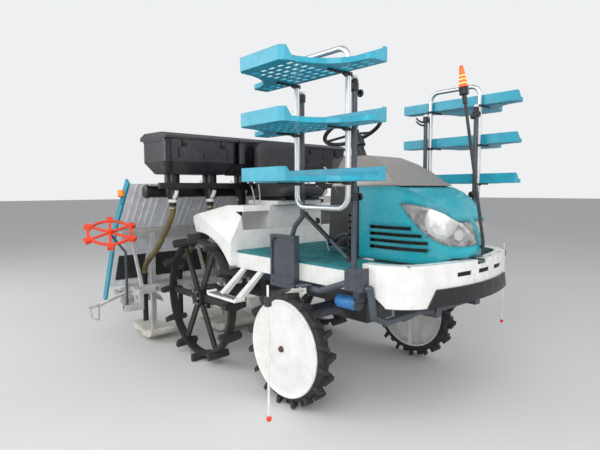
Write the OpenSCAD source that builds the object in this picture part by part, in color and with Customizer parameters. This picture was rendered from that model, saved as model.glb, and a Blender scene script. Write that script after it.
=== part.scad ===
// Six-row riding rice transplanter: X forward, Y to its left, Z up, in millimetres.
// The origin lies on the ground below the middle of the machine.
// Pieces are drawn in machine space, with X counted from the front axle.

/* [Overall] */
// Bumper in front of the front axle
front_reach = 830; // [810:5:860]

/* [Wheels] */
// Distance from the front axle to the rear axle
wheelbase = 960; // [945:5:970]
// Distance between the wheel planes, front and rear
track = 1200; // [1180:5:1240]
// Front wheel radius out to the lug tips
front_r = 325; // [315:1:335]
// Rear wheel radius out to the lug tips
rear_r = 450; // [440:1:460]
// Front tyre half width without its lugs
front_tyre_hw = 38; // [34:1:44]
// Height of the front lugs
front_lug_h = 30; // [22:1:36]
// Lugs on each side of a front tyre
front_lugs = 16; // [12:1:20]
// Height of the rear lugs
rear_lug_h = 38; // [30:1:44]
// Half width of the rear lugs
rear_lug_hw = 80; // [70:1:85]
// Lugs on a rear wheel
rear_lugs = 12; // [10:1:16]
// Radius of the front wheel's white disc
disc_r = 272; // [262:1:280]
// Spokes of a front wheel
front_spokes = 4; // [3:1:6]
// Spokes of a rear wheel
rear_spokes = 6; // [5:1:8]
// Steering axis inboard of the wheel plane
kingpin_in = 95; // [90:1:110]
// Running clearance of shafts in their bores
run_gap = 0.08; // [0.05:0.01:0.1]

/* [Frame] */
// Height of the underside of the main rails
rail_z = 560; // [545:5:570]
// Rail height
rail_h = 80; // [60:5:90]
// Half distance between the rail centres
rail_y = 200; // [180:5:220]
// Radius of the round side bars
side_bar_r = 17; // [13:1:19]

/* [Body] */
// Height of the floor mat's top
deck_z = 815; // [805:1:830]
// Half width of the floor
deck_hw = 560; // [550:1:570]
// Thickness of the plastic panels
skin = 6; // [4:0.5:8]
// Thickness of the floor mat
mat_t = 14; // [8:1:18]
// Lower edge of the bumper
bumper_z0 = 648; // [640:1:665]
// Upper edge of the bumper
bumper_z1 = 850; // [845:1:860]
// Half width of the bonnet at its rear
bonnet_hw = 255; // [240:1:262]
// Height of the seam between bonnet and cowl
bonnet_seam_z = 1222; // [1200:1:1240]
// Height of the seat base
seat_base_z = 1100; // [1080:5:1120]
// Top of the seat back
seat_top_z = 1560; // [1520:5:1600]
// Seat width
seat_w = 420; // [380:5:460]
// Steering wheel radius
steer_r = 185; // [170:1:195]

/* [Seedling racks] */
// Rear tube of a rack, in front of the front axle
rack_x0 = 108; // [95:1:120]
// Front tube of a rack, in front of the front axle
rack_x1 = 465; // [450:1:480]
// Rack tubes outboard of the floor's edge
rack_out = 65; // [60:1:75]
// Rack tube radius
rack_tube_r = 14; // [11:0.5:16]
// Top of the racks
rack_top_z = 1876; // [1850:1:1900]
// Bottom of the racks
rack_bottom_z = 1100; // [1080:1:1120]
// Height of the top tray
tray_z = 1742; // [1720:1:1760]
// Distance between trays
tray_pitch = 250; // [230:1:260]
// Trays on each side
tray_count = 3; // [2:1:3]
// Reach of a tray outboard of its rack
tray_reach = 385; // [360:1:405]
// Half length of a tray's inboard side
tray_half_l = 410; // [380:1:420]

/* [Hoppers] */
// Fertiliser hoppers, each for two rows
hopper_count = 3; // [3:1:3]
// Hopper rim height
hopper_rim_z = 1545; // [1530:1:1560]
// Hopper outlet height
hopper_low_z = 1245; // [1230:1:1260]
// Hopper front edge behind the front axle
hopper_x0 = 900; // [895:1:915]
// Hopper depth
hopper_d = 370; // [340:1:390]

/* [Planting section] */
// Distance between plant rows
row_pitch = 300; // [290:1:305]
// Width that one seedling mat takes on the platform
mat_pitch = 298; // [292:1:300]
// Height of the platform's top edge
platform_top_z = 1250; // [1230:1:1270]
// Height of the lower end of the platform's side bars
platform_low_z = 290; // [280:1:310]
// Height of the lower edge of the platform's sheet
sheet_low_z = 420; // [415:1:440]
// Cross tube behind the front axle
cross_x = 1470; // [1465:1:1480]
// Height of the cross tube
cross_z = 450; // [445:1:455]
// Planting rotor axis behind the front axle
rotor_x = 2060; // [2055:1:2075]
// Height of the planting rotor axis
rotor_z = 290; // [285:1:300]
// Radius on which the planting arms go round
rotor_orbit = 75; // [70:1:78]
// Height of the floats' underside
float_z = 35; // [25:1:50]
// Length of the lift links
link_l = 430; // [425:1:440]
// Slope of the lift links at rest, below level
link_fall = 24; // [20:1:27]

/* [Side markers] */
// Marker rods from the middle of the machine
rod_y = 1088; // [1060:1:1110]
// Upper end of a marker rod
rod_top_z = 810; // [800:1:830]
// Lower end of a marker rod's ball
rod_low_z = 225; // [200:1:240]

/* [Hidden] */
$fn = 48;

rotor_phase = 20;
rotor_end_r = 32;
rear_x = -wheelbase;
// The rear section is drawn at this wheelbase and moves with the rear axle
drawn_base = 960;
rear_shift = drawn_base - wheelbase;
rack_y = deck_hw + rack_out;
tray_out = rack_y + tray_reach;
// The origin is the middle of the overall length
axle_x = (rotor_x - rear_shift + rotor_orbit * cos(rotor_phase) + rotor_end_r - front_reach) / 2;
wheel_y = track / 2;
kingpin_y = wheel_y - kingpin_in;
gap = 0.3;

teal = "darkturquoise";
dark = "darkslategray";

function arc(cx, cy, r, a0, a1, n) = [for (i = [0:n]) let (a = a0 + (a1 - a0) * i / n)
    [cx + r * cos(a), cy + r * sin(a)]];
function rounded(w, h, r, n) = concat(arc(w / 2 - r, h / 2 - r, r, 0, 90, n),
    arc(-w / 2 + r, h / 2 - r, r, 90, 180, n), arc(-w / 2 + r, -h / 2 + r, r, 180, 270, n),
    arc(w / 2 - r, -h / 2 + r, r, 270, 360, n));

module machine() translate([axle_x, 0, 0]) children();
module rear_section() translate([rear_shift, 0, 0]) children();
module both_sides() { children(); mirror([0, 1, 0]) children(); }
module on_left() mirror([0, 1, 0]) children();

module block(x0, x1, y0, y1, z0, z1) translate([x0, y0, z0]) cube([x1 - x0, y1 - y0, z1 - z0]);

module along_y(pts, y0, y1) translate([0, y1, 0]) rotate([90, 0, 0]) linear_extrude(y1 - y0) polygon(pts);
module along_x(pts, x0, x1) translate([x0, 0, 0]) rotate([90, 0, 90]) linear_extrude(x1 - x0) polygon(pts);
module along_z(pts, z0, z1) translate([0, 0, z0]) linear_extrude(z1 - z0) polygon(pts);

module rod(a, b, r) {
    d = b - a;
    l = norm(d);
    translate(a) rotate([0, acos(d[2] / l), atan2(d[1], d[0])]) cylinder(h = l, r = r);
}
// A round tube through points
module pipe(pts, r) {
    for (i = [0:len(pts) - 2]) rod(pts[i], pts[i + 1], r);
    for (i = [1:len(pts) - 2]) translate(pts[i]) sphere(r + 0.4);
}
// A cylinder along Y from y0 to y1
module pin_y(x, z, r, y0, y1) translate([x, y1, z]) rotate([90, 0, 0]) cylinder(h = y1 - y0, r = r);
// Local +Z becomes outboard on the right side
module right_hub(x, z) translate([x, -wheel_y, z]) rotate([90, 0, 0]) children();

// Chassis

rail_x0 = -1030;
tower_z = 1000;
rail_x1 = 700;
module main_frame() color(dark) {
    both_sides() block(rail_x0 + rear_shift, rail_x1, rail_y - 25, rail_y + 25, rail_z, rail_z + rail_h);
    for (x = [-880 + rear_shift, -420 + rear_shift, 60, 640])
        block(x - 25, x + 25, -rail_y + 25 + gap, rail_y - 25 - gap, rail_z + 10, rail_z + rail_h - 10);
    // outriggers below the floor
    for (x = [-480 + rear_shift, 75, 440]) both_sides()
        block(x - 20, x + 20, rail_y + 25, deck_hw - 8 - (x > -300 ? side_bar_r + gap : 14), rail_z + rail_h + 25,
            rail_z + rail_h + 60);
    for (x = [-480 + rear_shift, 75, 440])
        both_sides() block(x - 20, x + 20, rail_y - 25, rail_y + 25, rail_z + rail_h + gap, rail_z + rail_h + 60);
    // rear tower with the lugs of the lift links
    rear_section() tower();
}

// Tower that carries the lift links, on the rear ends of the rails
module tower() {
    both_sides() block(rail_x0, rail_x0 + 60, rail_y - 25, rail_y + 25, rail_z + rail_h + gap, tower_z - 50 - gap);
    block(rail_x0, rail_x0 + 60, -rail_y - 25, rail_y + 25, tower_z - 50, tower_z);
    both_sides() difference() {
        along_y([[link_x0 - 30, low_pin_z - 26], [link_x0 + 24, low_pin_z - 26], [link_x0 + 60, rail_z + 20],
            [link_x0 + 60, rail_z + 60], [link_x0 - 30, low_pin_z + 26]], 146, 158);
        pin_y(link_x0, low_pin_z, link_pin_r + run_gap, 140, 164);
    }
    both_sides() block(link_x0 + 30, link_x0 + 60, 157, rail_y - 25 - gap, rail_z + 22, rail_z + 58);
    both_sides() difference() {
        along_y([[link_x0 - 30, up_pin_z - 26], [link_x0 + 30, up_pin_z - 26], [link_x0 + 30, tower_z - 48], [link_x0 - 20, tower_z - 48]],
            22, 34);
        pin_y(link_x0, up_pin_z, link_pin_r + run_gap, 16, 40);
    }
}

module engine_block() color("dimgray") {
    block(250, 620, -165, 165, rail_z + rail_h + 20, 1080);
    both_sides() for (x = [280, 550]) block(x, x + 40, 160, 215, rail_z + rail_h + gap, rail_z + rail_h + 60);
}

module transmission() color("slategray") {
    block(-190, 170, -120, 120, 400, rail_z + 10 - gap);
    translate([-190, 0, 470]) rotate([0, -90, 0]) cylinder(h = -190 - (rear_x + 120 + gap), r = 22);
}

axle_z = 490;
module front_axle() color(dark) {
    both_sides() difference() {
        union() {
            pin_y(0, axle_z, 44, 120 + gap, kingpin_y);
            translate([0, kingpin_y, axle_z - 50]) cylinder(h = 110, r = 58);
        }
        translate([0, kingpin_y, axle_z - 51]) cylinder(h = 100, r = kingpin_r + run_gap);
    }
}

rear_case_z = 620;
module rear_axle() color(dark) {
    block(rear_x - 80, rear_x + 120, -110, 110, rear_r - 70, rail_z + 10 - gap);
    both_sides() difference() {
        union() {
            pin_y(rear_x, rear_r, 48, 110, wheel_y - 95);
            pin_y(rear_x, rear_r, 78, wheel_y - 135, wheel_y - 95);
        }
        pin_y(rear_x, rear_r, hub_shaft_r + run_gap, wheel_y - 160, wheel_y - 94);
    }
}

// Steering knuckles carry the front wheels below the axle ends
kingpin_r = 26;
hub_shaft_r = 22;
module knuckle_right() color(dark) translate([0, -kingpin_y, 0]) {
    cylinder_top = axle_z - 51;
    translate([0, 0, cylinder_top]) cylinder(h = 90, r = kingpin_r);
    difference() {
        union() {
            translate([0, 0, front_r - 20]) cylinder(h = cylinder_top - gap - front_r + 20, r = 44);
            translate([0, 0, front_r]) rotate([90, 0, 0]) translate([0, 0, -46]) cylinder(h = 82, r = 62);
        }
        translate([0, 0, front_r]) rotate([90, 0, 0]) cylinder(h = 60, r = hub_shaft_r + run_gap);
    }
}

// Wheels, drawn with local +Z outboard

tyre_bead_r = disc_r - 14;
module front_tyre() color("black") {
    carcass_r = front_r - front_lug_h;
    union() {
        rotate_extrude($fn = 64) polygon([[tyre_bead_r, -front_tyre_hw], [carcass_r - 12, -front_tyre_hw],
            [carcass_r, -front_tyre_hw + 14], [carcass_r, front_tyre_hw - 14],
            [carcass_r - 12, front_tyre_hw], [tyre_bead_r, front_tyre_hw]]);
        for (i = [0:front_lugs - 1], side = [-1, 1])
            rotate([0, 0, 360 / front_lugs * (i + (side > 0 ? 0.5 : 0))])
                front_lug(carcass_r, side);
    }
}
module front_lug(root_r, side) mirror([0, 0, side > 0 ? 0 : 1])
    intersection() {
        rotate([-24, 0, 0]) translate([root_r - 14, -11, -12]) cube([front_lug_h + 30, 22, 70]);
        rotate([0, 90, 0]) translate([0, 0, root_r - 10])
            linear_extrude(front_lug_h + 9) polygon([[6, -60], [6, 60], [-front_tyre_hw - 10, 60],
                [-front_tyre_hw - 10, -60]]);
        translate([0, 0, -20]) cylinder(h = 90, r = front_r, $fn = 96);
    }

module front_wheel() color("white") {
    // rim band
    rotate_extrude($fn = 64) polygon([[tyre_bead_r - 10, -front_tyre_hw + 2], [tyre_bead_r, -front_tyre_hw + 2],
        [tyre_bead_r, front_tyre_hw], [tyre_bead_r - 10, front_tyre_hw]]);
    // dished cover with a rolled edge
    rotate_extrude($fn = 64) polygon(concat(
        [[0, front_tyre_hw + 8], [90, front_tyre_hw + 6], [150, front_tyre_hw - 2], [disc_r - 30, front_tyre_hw + gap],
        [disc_r, front_tyre_hw + gap]],
        arc(disc_r - 6, front_tyre_hw + 6 + gap, 6, 0, 90, 3),
        [[disc_r - 16, front_tyre_hw + 8], [disc_r - 30, front_tyre_hw + 5], [150, front_tyre_hw + 4],
        [90, front_tyre_hw + 12], [0, front_tyre_hw + 14]]));
    // hub, shaft and spokes
    translate([0, 0, -front_tyre_hw + 2]) cylinder(h = 2 * front_tyre_hw + 7, r = 48);
    translate([0, 0, front_tyre_hw + 12]) cylinder(h = 12, r1 = 17, r2 = 14);
    translate([0, 0, -kingpin_in + 10]) cylinder(h = kingpin_in - 10 - front_tyre_hw + 4, r = hub_shaft_r);
    for (i = [0:front_spokes - 1]) rotate([0, 0, 360 / front_spokes * i + 90])
        block(40, tyre_bead_r - 5, -18, 18, -front_tyre_hw + 6, -front_tyre_hw + 14);
}

rear_rim_r = rear_r - rear_lug_h - 12;
rear_rim_hw = 24;
module rear_tyre() color("black") union() {
    rotate_extrude($fn = 64) polygon([[rear_rim_r, -rear_rim_hw - 4], [rear_rim_r + 12, -rear_rim_hw - 4],
        [rear_rim_r + 12, rear_rim_hw + 4], [rear_rim_r, rear_rim_hw + 4]]);
    for (i = [0:rear_lugs - 1]) rotate([0, 0, 360 / rear_lugs * i]) rear_lug();
}
module rear_lug() intersection() {
    for (side = [0, 1]) mirror([0, 0, side]) rotate([0, 90, 0]) translate([0, 0, rear_rim_r + 2])
        linear_extrude(rear_lug_h + 10)
            polygon([[4, -22], [-rear_lug_hw, -4], [-rear_lug_hw, 28], [4, 22]]);
    translate([0, 0, -rear_lug_hw - 5]) cylinder(h = 2 * rear_lug_hw + 10, r = rear_r, $fn = 96);
}

module rear_wheel() color("black") {
    rotate_extrude($fn = 64) polygon([[rear_rim_r - 14, -rear_rim_hw], [rear_rim_r, -rear_rim_hw],
        [rear_rim_r, rear_rim_hw], [rear_rim_r - 14, rear_rim_hw]]);
    translate([0, 0, -30]) cylinder(h = 60, r = 62);
    translate([0, 0, 30]) cylinder(h = 14, r = 34);
    translate([0, 0, -94.7]) cylinder(h = 66, r = 50);
    translate([0, 0, -150]) cylinder(h = 60, r = hub_shaft_r);
    for (i = [0:rear_spokes - 1]) rotate([0, 0, 360 / rear_spokes * i])
        block(55, rear_rim_r - 8, -22, 22, -9, 9);
}

// Floor and body panels

// Half outline of the bumper in plan, from the side to the nose, moved in by inset
nose_arc_r = 1297;
corner_r = 243;
function bumper_half(inset) = let (cx = front_reach - 10 - nose_arc_r,
    a = asin((deck_hw - 0.06 - corner_r) / (nose_arc_r - corner_r)),
    kx = cx + (nose_arc_r - corner_r) * cos(a), ky = (nose_arc_r - corner_r) * sin(a))
    concat(arc(cx, 0, nose_arc_r - inset, 0, a, 4), arc(kx, ky, corner_r - inset, a, 90, 6));
function bumper_outline(inset, x_rear) = let (h = bumper_half(inset), n = len(h) - 1)
    concat([for (i = [n:-1:0]) [h[i][0], -h[i][1]]], [for (i = [1:n]) h[i]],
        [[x_rear, h[n][1]], [x_rear, -h[n][1]]]);

bumper_rear_x = 500;
module front_bumper() color("white") difference() {
    union() {
        difference() {
            along_z(bumper_outline(0, bumper_rear_x), bumper_z0, bumper_z1);
            along_z(bumper_outline(skin, bumper_rear_x - 10), bumper_z0 - 1, bumper_z1 - skin);
            along_z(bumper_outline(60, bumper_rear_x - 10), bumper_z0 - 1, bumper_z1 + 1);
        }
        // lower lip behind the strip
        difference() {
            along_z(bumper_outline(skin - 1, bumper_rear_x), bumper_z0, bumper_z0 + skin);
            along_z(bumper_outline(60, bumper_rear_x - 10), bumper_z0 - 1, bumper_z0 + skin + 1);
            block(bumper_rear_x - 10, bumper_rear_x + 160, -deck_hw - 10, deck_hw + 10, bumper_z0 - 1,
                bumper_z0 + skin + 1);
        }
    }
    // lower rear corners rise towards the posts
    along_y([[bumper_rear_x - 20, bumper_z0 - 20], [bumper_rear_x + 130, bumper_z0 - 20],
        [bumper_rear_x + 120, bumper_z0 + 6], [bumper_rear_x + 40, bumper_z0 + 80],
        [bumper_rear_x - 20, bumper_z0 + 130]], -deck_hw - 20, deck_hw + 20);
    // air slots and the notch for the pole's foot
    for (y = [-210, -30, 150]) block(front_reach - 90, front_reach + 10, y, y + 110, bumper_z1 - 70, bumper_z1 - 48);
    block(front_reach - 75, front_reach + 10, -42, 42, bumper_z1 - 24, bumper_z1 + 10);
}

module bumper_strip() color("black") intersection() {
    difference() {
        along_z(bumper_outline(-10, bumper_rear_x), bumper_z0 + 2, bumper_z0 + 86);
        along_z(bumper_outline(0, bumper_rear_x - 10), bumper_z0 - 10, bumper_z0 + 100);
    }
    along_x([[-400, bumper_z0], [400, bumper_z0], [345, bumper_z0 + 90], [-345, bumper_z0 + 90]],
        front_reach - 150, front_reach + 20);
}

floor_x0 = -560;
floor_rear_x = floor_x0 + rear_shift;
panel_z = deck_z - mat_t;
skirt_z = 706;
// Plan of the engine opening in the floor
function engine_bay(inset) = [[150 + inset, -bonnet_hw - 14 + inset], [bumper_rear_x + 300, -bonnet_hw - 14 + inset],
    [bumper_rear_x + 300, bonnet_hw + 14 - inset], [150 + inset, bonnet_hw + 14 - inset]];
module floor_panel() color("white") difference() {
    union() {
        block(floor_rear_x, bumper_rear_x - gap, -deck_hw, deck_hw, skirt_z, panel_z);
        intersection() {
            along_z(bumper_outline(skin + 1, bumper_rear_x - 20), panel_z - skin, panel_z);
            block(bumper_rear_x - gap, front_reach - 90, -deck_hw, deck_hw, skirt_z, panel_z + 1);
        }
    }
    block(floor_rear_x + skin, bumper_rear_x - skin, -deck_hw + skin, deck_hw - skin, skirt_z - 1, panel_z - skin);
    along_z(engine_bay(0), skirt_z - 2, panel_z + 2);
}
module floor_mat() color(teal) difference() {
    intersection() {
        along_z(bumper_outline(skin + 2, floor_rear_x), panel_z, deck_z);
        block(floor_rear_x, front_reach - 95, -deck_hw + 4, deck_hw - 4, panel_z - 1, deck_z + 1);
    }
    along_z(engine_bay(0), panel_z - 2, deck_z + 2);
    block(dash_x0 - gap, 151, -bonnet_hw + 5 - gap, bonnet_hw - 5 + gap, panel_z - 2, deck_z + 2);
    // low ribs across the foot area
    for (x = [-480:60:100]) block(x, x + 24, -deck_hw + 50, deck_hw - 50, deck_z - 3, deck_z + 2);
}

// Rear body: wheel arches, sloping panels that rise to the seat and the seat base
arch_r = rear_r + 12;
arch_x0 = -drawn_base - 70;
slope_n = [0.436, 1.39, 1] / norm([0.436, 1.39, 1]);
module slope_cut(i) translate([floor_x0, deck_hw + 40, 862] - i * slope_n)
    rotate([0, acos(slope_n[2]), atan2(slope_n[1], slope_n[0])]) block(-900, 900, -900, 900, 0, 900);
module rear_body_form(i) difference() {
    along_y(concat([[arch_x0 + i, 1020 - i], [arch_x0 + i, 990 - i]],
        arc(-drawn_base, rear_r, arch_r + i, 94, 36, 12),
        [[floor_x0 - gap - i, 716], [floor_x0 - gap - i, deck_z + 10], [-600 - i, seat_base_z - 40],
        [-630 - i, seat_base_z - i], [-760, seat_base_z - i]]), -deck_hw - 40 + i, deck_hw + 40 - i);
    both_sides() slope_cut(i);
}
module rear_body() color("white") {
    difference() {
        rear_body_form(0);
        rear_body_form(skin);
        // open below, inside the wheels
        block(arch_x0 - 30, floor_x0 - 20, -wheel_y + 110, wheel_y - 110, 500, seat_base_z - 40);
        // room for the tower
        block(arch_x0 - 30, rail_x0 + 66, -rail_y - 30, rail_y + 30, 500, seat_base_z + 10);
    }
    // seat base in the middle
    difference() {
        block(-930, -600, -250, 250, panel_z, seat_base_z - skin - 0.5);
        block(-930 + skin, -600 - skin, -250 + skin, 250 - skin, panel_z - 1, seat_base_z - 2 * skin);
    }
    block(-900, -560, -210, 210, seat_base_z, seat_base_z + 28);
}

// Dark panels behind the bonnet
dash_x0 = 120;
module dash_panel() color(dark) {
    difference() {
        union() {
            block(dash_x0, 205, -bonnet_hw + 5, bonnet_hw - 5, panel_z + gap, bonnet_seam_z);
            along_y([[-150, deck_z + 40], [121, deck_z + 20], [121, bonnet_seam_z + 20], [-30, 1395], [-120, 1395]],
                -125, 125);
        }
        steer_axis() translate([0, 0, -330 - gap]) cylinder(h = 300, r = 30 + gap);
        // hollow towards the engine
        block(dash_x0 + skin, 206, -bonnet_hw + 5 + skin, bonnet_hw - 5 - skin, panel_z, bonnet_seam_z - skin);
        // louvres on both sides
        for (z = [860:38:1060]) block(135, 190, -bonnet_hw, bonnet_hw, z, z + 14);
    }
}

wheel_tilt = 25;
steer_x = -60;
steer_z = 1580;
module steer_axis() translate([steer_x, 0, steer_z]) rotate([0, -wheel_tilt, 0]) children();
module steering_column() color("dimgray") steer_axis() difference() {
    union() {
        translate([0, 0, -330]) cylinder(h = 270, r = 30);
        translate([0, 0, -120]) cylinder(h = 60, r = 46);
    }
    translate([0, 0, -150]) cylinder(h = 92, r = steer_shaft_r + run_gap);
}
steer_shaft_r = 11;
module steering_wheel() color("black") steer_axis() {
    rotate_extrude($fn = 64) translate([steer_r, 0]) circle(13, $fn = 24);
    translate([0, 0, -59.7]) cylinder(h = 52, r = 34);
    translate([0, 0, -140]) cylinder(h = 90, r = steer_shaft_r);
    for (a = [90, 210, 330]) rotate([0, 0, a]) rod([20, 0, -24], [steer_r - 6, 0, -2], 8);
}

// Bonnet

hinge_x = 800;
hinge_z = 856;
bonnet_x0 = 215;
// Side view of the outer skin, moved in by i; the lower edge rises over the bumper
bonnet_low_z = 822;
nose_x = front_reach - 22;
nose_low_z = bumper_z1 + 8;
function bonnet_side(i) = concat([[bonnet_x0, bonnet_low_z], [690, bonnet_low_z], [742, nose_low_z],
    [nose_x - 26, nose_low_z], [nose_x - 8 - i, nose_low_z + 20], [nose_x - i, nose_low_z + 46], [nose_x - 3 - i, 932],
    [nose_x - 12 - i, 971], [nose_x - 29 - i, 1010], [nose_x - 50 - i, 1045 - 0.7 * i], [697, 1106 - i], [630, 1156 - i], [568, 1190 - i],
    [510, 1213 - i], [460, bonnet_seam_z - i], [bonnet_x0, bonnet_seam_z - i]]);
function bonnet_plan(i) = concat([[bonnet_x0 - 10, -bonnet_hw + i]],
    [for (t = [-90:10:90]) [460 + (nose_x - 460 - i) * cos(t), (bonnet_hw - i) * sin(t)]],
    [[bonnet_x0 - 10, bonnet_hw - i]]);
module bonnet_form(i) intersection() {
    along_y(bonnet_side(i), -300, 300);
    along_z(bonnet_plan(i), bonnet_low_z - 10, bonnet_seam_z + 20);
}
module bonnet() color(teal) difference() {
    bonnet_form(0);
    difference() {
        bonnet_form(skin);
        // bracket for the pole inside the nose
        block(hinge_x - 60, hinge_x, -40, 40, nose_low_z - 5, nose_low_z + 18);
    }
    // four slots on each side, longer towards the bottom
    for (i = [0:3]) both_sides()
        block(296, 646 - 12 * i * i + 6 * i, bonnet_hw - 40, bonnet_hw + 10, 884 + 36 * i, 902 + 36 * i);
    lamp_cut(0.6);
}
// Opening that the lamp fills, pointed at the rear and round at the nose
module lamp_cut(grow) both_sides() along_y([for (p = lamp_side) [p[0] + (p[0] > 660 ? 1 : -1) * grow, p[1] +
    (p[1] > 1030 ? 1 : -1) * grow]], 20, bonnet_hw + 20);
lamp_side = [[492, 1132], [560, 1128], [640, 1112], [705, 1082], [765, 1035], [820, 985], [820, 928], [770, 915],
    [715, 922], [660, 950], [600, 1000], [540, 1065]];
module headlamps() color("lightgray") intersection() {
    difference() { bonnet_form(1); bonnet_form(4 * skin); }
    lamp_cut(0);
}
module bonnet_top() color("silver") difference() {
    intersection() {
        along_y([[0, bonnet_seam_z + gap], [505, bonnet_seam_z + gap], [442, 1259], [380, 1306], [305, 1354], [205, 1397],
            [120, 1409], [0, 1411]], -260, 260);
        along_x([[-250, bonnet_seam_z], [250, bonnet_seam_z], [225, 1300], [150, 1400], [60, 1421], [-60, 1421],
            [-150, 1400], [-225, 1300]], -5, 510);
    }
    intersection() {
        along_y([[-1, bonnet_seam_z - 1], [484, bonnet_seam_z - 1], [437, 1250], [375, 1296], [301, 1343], [203, 1385],
            [118, 1397], [-1, 1399]], -260, 260);
        along_x([[-242, bonnet_seam_z - 1], [242, bonnet_seam_z - 1], [216, 1298], [146, 1391], [56, 1412],
            [-56, 1412], [-146, 1391], [-216, 1298]], -5, 480);
    }
    block(-6, 126, -131, 131, bonnet_seam_z - 2, 1440);
}

pole_points = [[nose_x + 13, 0, nose_low_z + 14], [nose_x + 13, 0, 940],
    [700, 0, 1690]];
module centre_pole() color("black") {
    pipe(pole_points, 8);
    rod([nose_x + gap, 0, nose_low_z + 54], [nose_x + 13, 0, nose_low_z + 54], 7);
    translate([700, 0, 1690]) rotate([0, -8, 0]) color("orangered") {
        cylinder(h = 36, r = 23);
        translate([0, 0, 36]) cylinder(h = 112, r1 = 23, r2 = 9);
    }
}

// Seat

module seat() color("dimgray") {
    translate([-700, 0, seat_base_z + 28 + gap]) linear_extrude(24) polygon(rounded(330, 320, 20, 3));
    translate([-690, 0, seat_base_z + 53]) linear_extrude(75) polygon(rounded(400, seat_w, 60, 5));
    translate([-800, 0, seat_base_z + 60]) rotate([0, -3, 0]) along_x([for (p = rounded(seat_w, seat_top_z - seat_base_z - 60, 80, 5))
        [p[0], p[1] + (seat_top_z - seat_base_z - 60) / 2]], -40, 40);
}

// Side steps, side bars and racks

step_y = wheel_y + rear_lug_hw + 18;
module side_steps() color("white") both_sides() {
    for (x = [-505, -330]) along_x([[deck_hw - 26, skirt_z - gap], [deck_hw + 2, skirt_z - gap], [step_y + 26, 574],
        [step_y + 26, 552], [step_y + 2, 552]], x, x + 40);
    along_y([[-590, 562], [-578, 550], [-284, 550], [-272, 562], [-272, 580], [-280, 580], [-286, 566], [-576, 566],
        [-582, 580], [-590, 580]], step_y, step_y + 68);
}

side_bar_y = deck_hw + side_bar_r + 1;
side_bar_z = 676;
brace_z = 738;
module side_bars() color(dark) both_sides() {
    pipe([[-166, side_bar_y, side_bar_z], [230, side_bar_y, side_bar_z], [395, side_bar_y, brace_z],
        [566, side_bar_y + 2, brace_z], [582, deck_hw + 12, 604], [600, 500, 570], [650, 300, 600], [686, 234, 600]],
        side_bar_r);
    // arm from the frame's outrigger
    block(55, 95, deck_hw - 25, side_bar_y - 6, side_bar_z - 11, side_bar_z + 20);
    // pivot of the side marker
    block(arm_root[0] - 22, arm_root[0] + 22, side_bar_y - 12, side_bar_y + 14, side_bar_z, 699);
    block(arm_root[0] - 22, arm_root[0] + 22, side_bar_y - 12, arm_root[1] + 20, 690 + gap, 699);
    translate([arm_root[0], arm_root[1], 656]) cylinder(h = 38, r = 8);
}

post_y = rack_y - 44;
post_r = 13.5;
module rack_posts() color(dark) both_sides() {
    // front post stands straight, the rear one turns back to its channel
    translate([rack_x1, post_y, brace_z + 30]) cylinder(h = 1712 - brace_z - 30, r = post_r);
    translate([rack_x0 - 10, post_y, rack_bottom_z - 40]) cylinder(h = 1692 - rack_bottom_z + 40, r = post_r);
    rod([rack_x0 - 10, post_y, rack_bottom_z - 40], [40, post_y, 1008], post_r);
    translate([rack_x0 - 10, post_y, rack_bottom_z - 40]) sphere(post_r + 0.4);
    rod([40, post_y, 1008], [10, post_y, 940], post_r);
    translate([40, post_y, 1008]) sphere(post_r + 0.4);
    // brackets that clasp the side bar
    difference() {
        block(-155, 50, deck_hw + 1, post_y + 21, 656, 952);
        block(-140, 36, post_y + 12, post_y + 22, 720, 936);
        rod([-170, side_bar_y, side_bar_z], [70, side_bar_y, side_bar_z], side_bar_r + gap);
    }
    difference() {
        along_y([[422, 716], [530, 716], [543, 740], [541, 833], [422, 819]], deck_hw + 1, post_y + 21);
        rod([400, side_bar_y + 5 / 171 * 2, brace_z], [560, side_bar_y + 165 / 171 * 2, brace_z], side_bar_r + gap);
    }
    // ties to the loop
    for (x = [rack_x0 - 10, rack_x1], z = [rack_bottom_z + 70, tray_z - 60])
        pin_y(x, z, 9, post_y + 6, rack_y - rack_tube_r - gap);
    // slanting brace
    rod([rack_x0 - 6, post_y, rack_bottom_z - 10], [rack_x1 - 5, post_y, 845], 8);
}

bend = 60;
module loop_corner(x, z, a) translate([x, rack_y, z]) rotate([90, 0, 0]) rotate([0, 0, a])
    rotate_extrude(angle = 90, $fn = 48) translate([bend, 0]) circle(rack_tube_r, $fn = 24);
module rack_loops() color("silver") both_sides() {
    for (x = [rack_x0, rack_x1]) translate([x, rack_y, rack_bottom_z + rack_tube_r + bend])
        cylinder(h = rack_top_z - rack_bottom_z - 2 * bend - 2 * rack_tube_r, r = rack_tube_r);
    for (z = [rack_bottom_z + rack_tube_r, rack_top_z - rack_tube_r])
        rod([rack_x0 + bend, rack_y, z], [rack_x1 - bend, rack_y, z], rack_tube_r);
    loop_corner(rack_x1 - bend, rack_top_z - rack_tube_r - bend, 0);
    loop_corner(rack_x0 + bend, rack_top_z - rack_tube_r - bend, 90);
    loop_corner(rack_x0 + bend, rack_bottom_z + rack_tube_r + bend, 180);
    loop_corner(rack_x1 - bend, rack_bottom_z + rack_tube_r + bend, 270);
}

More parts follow.
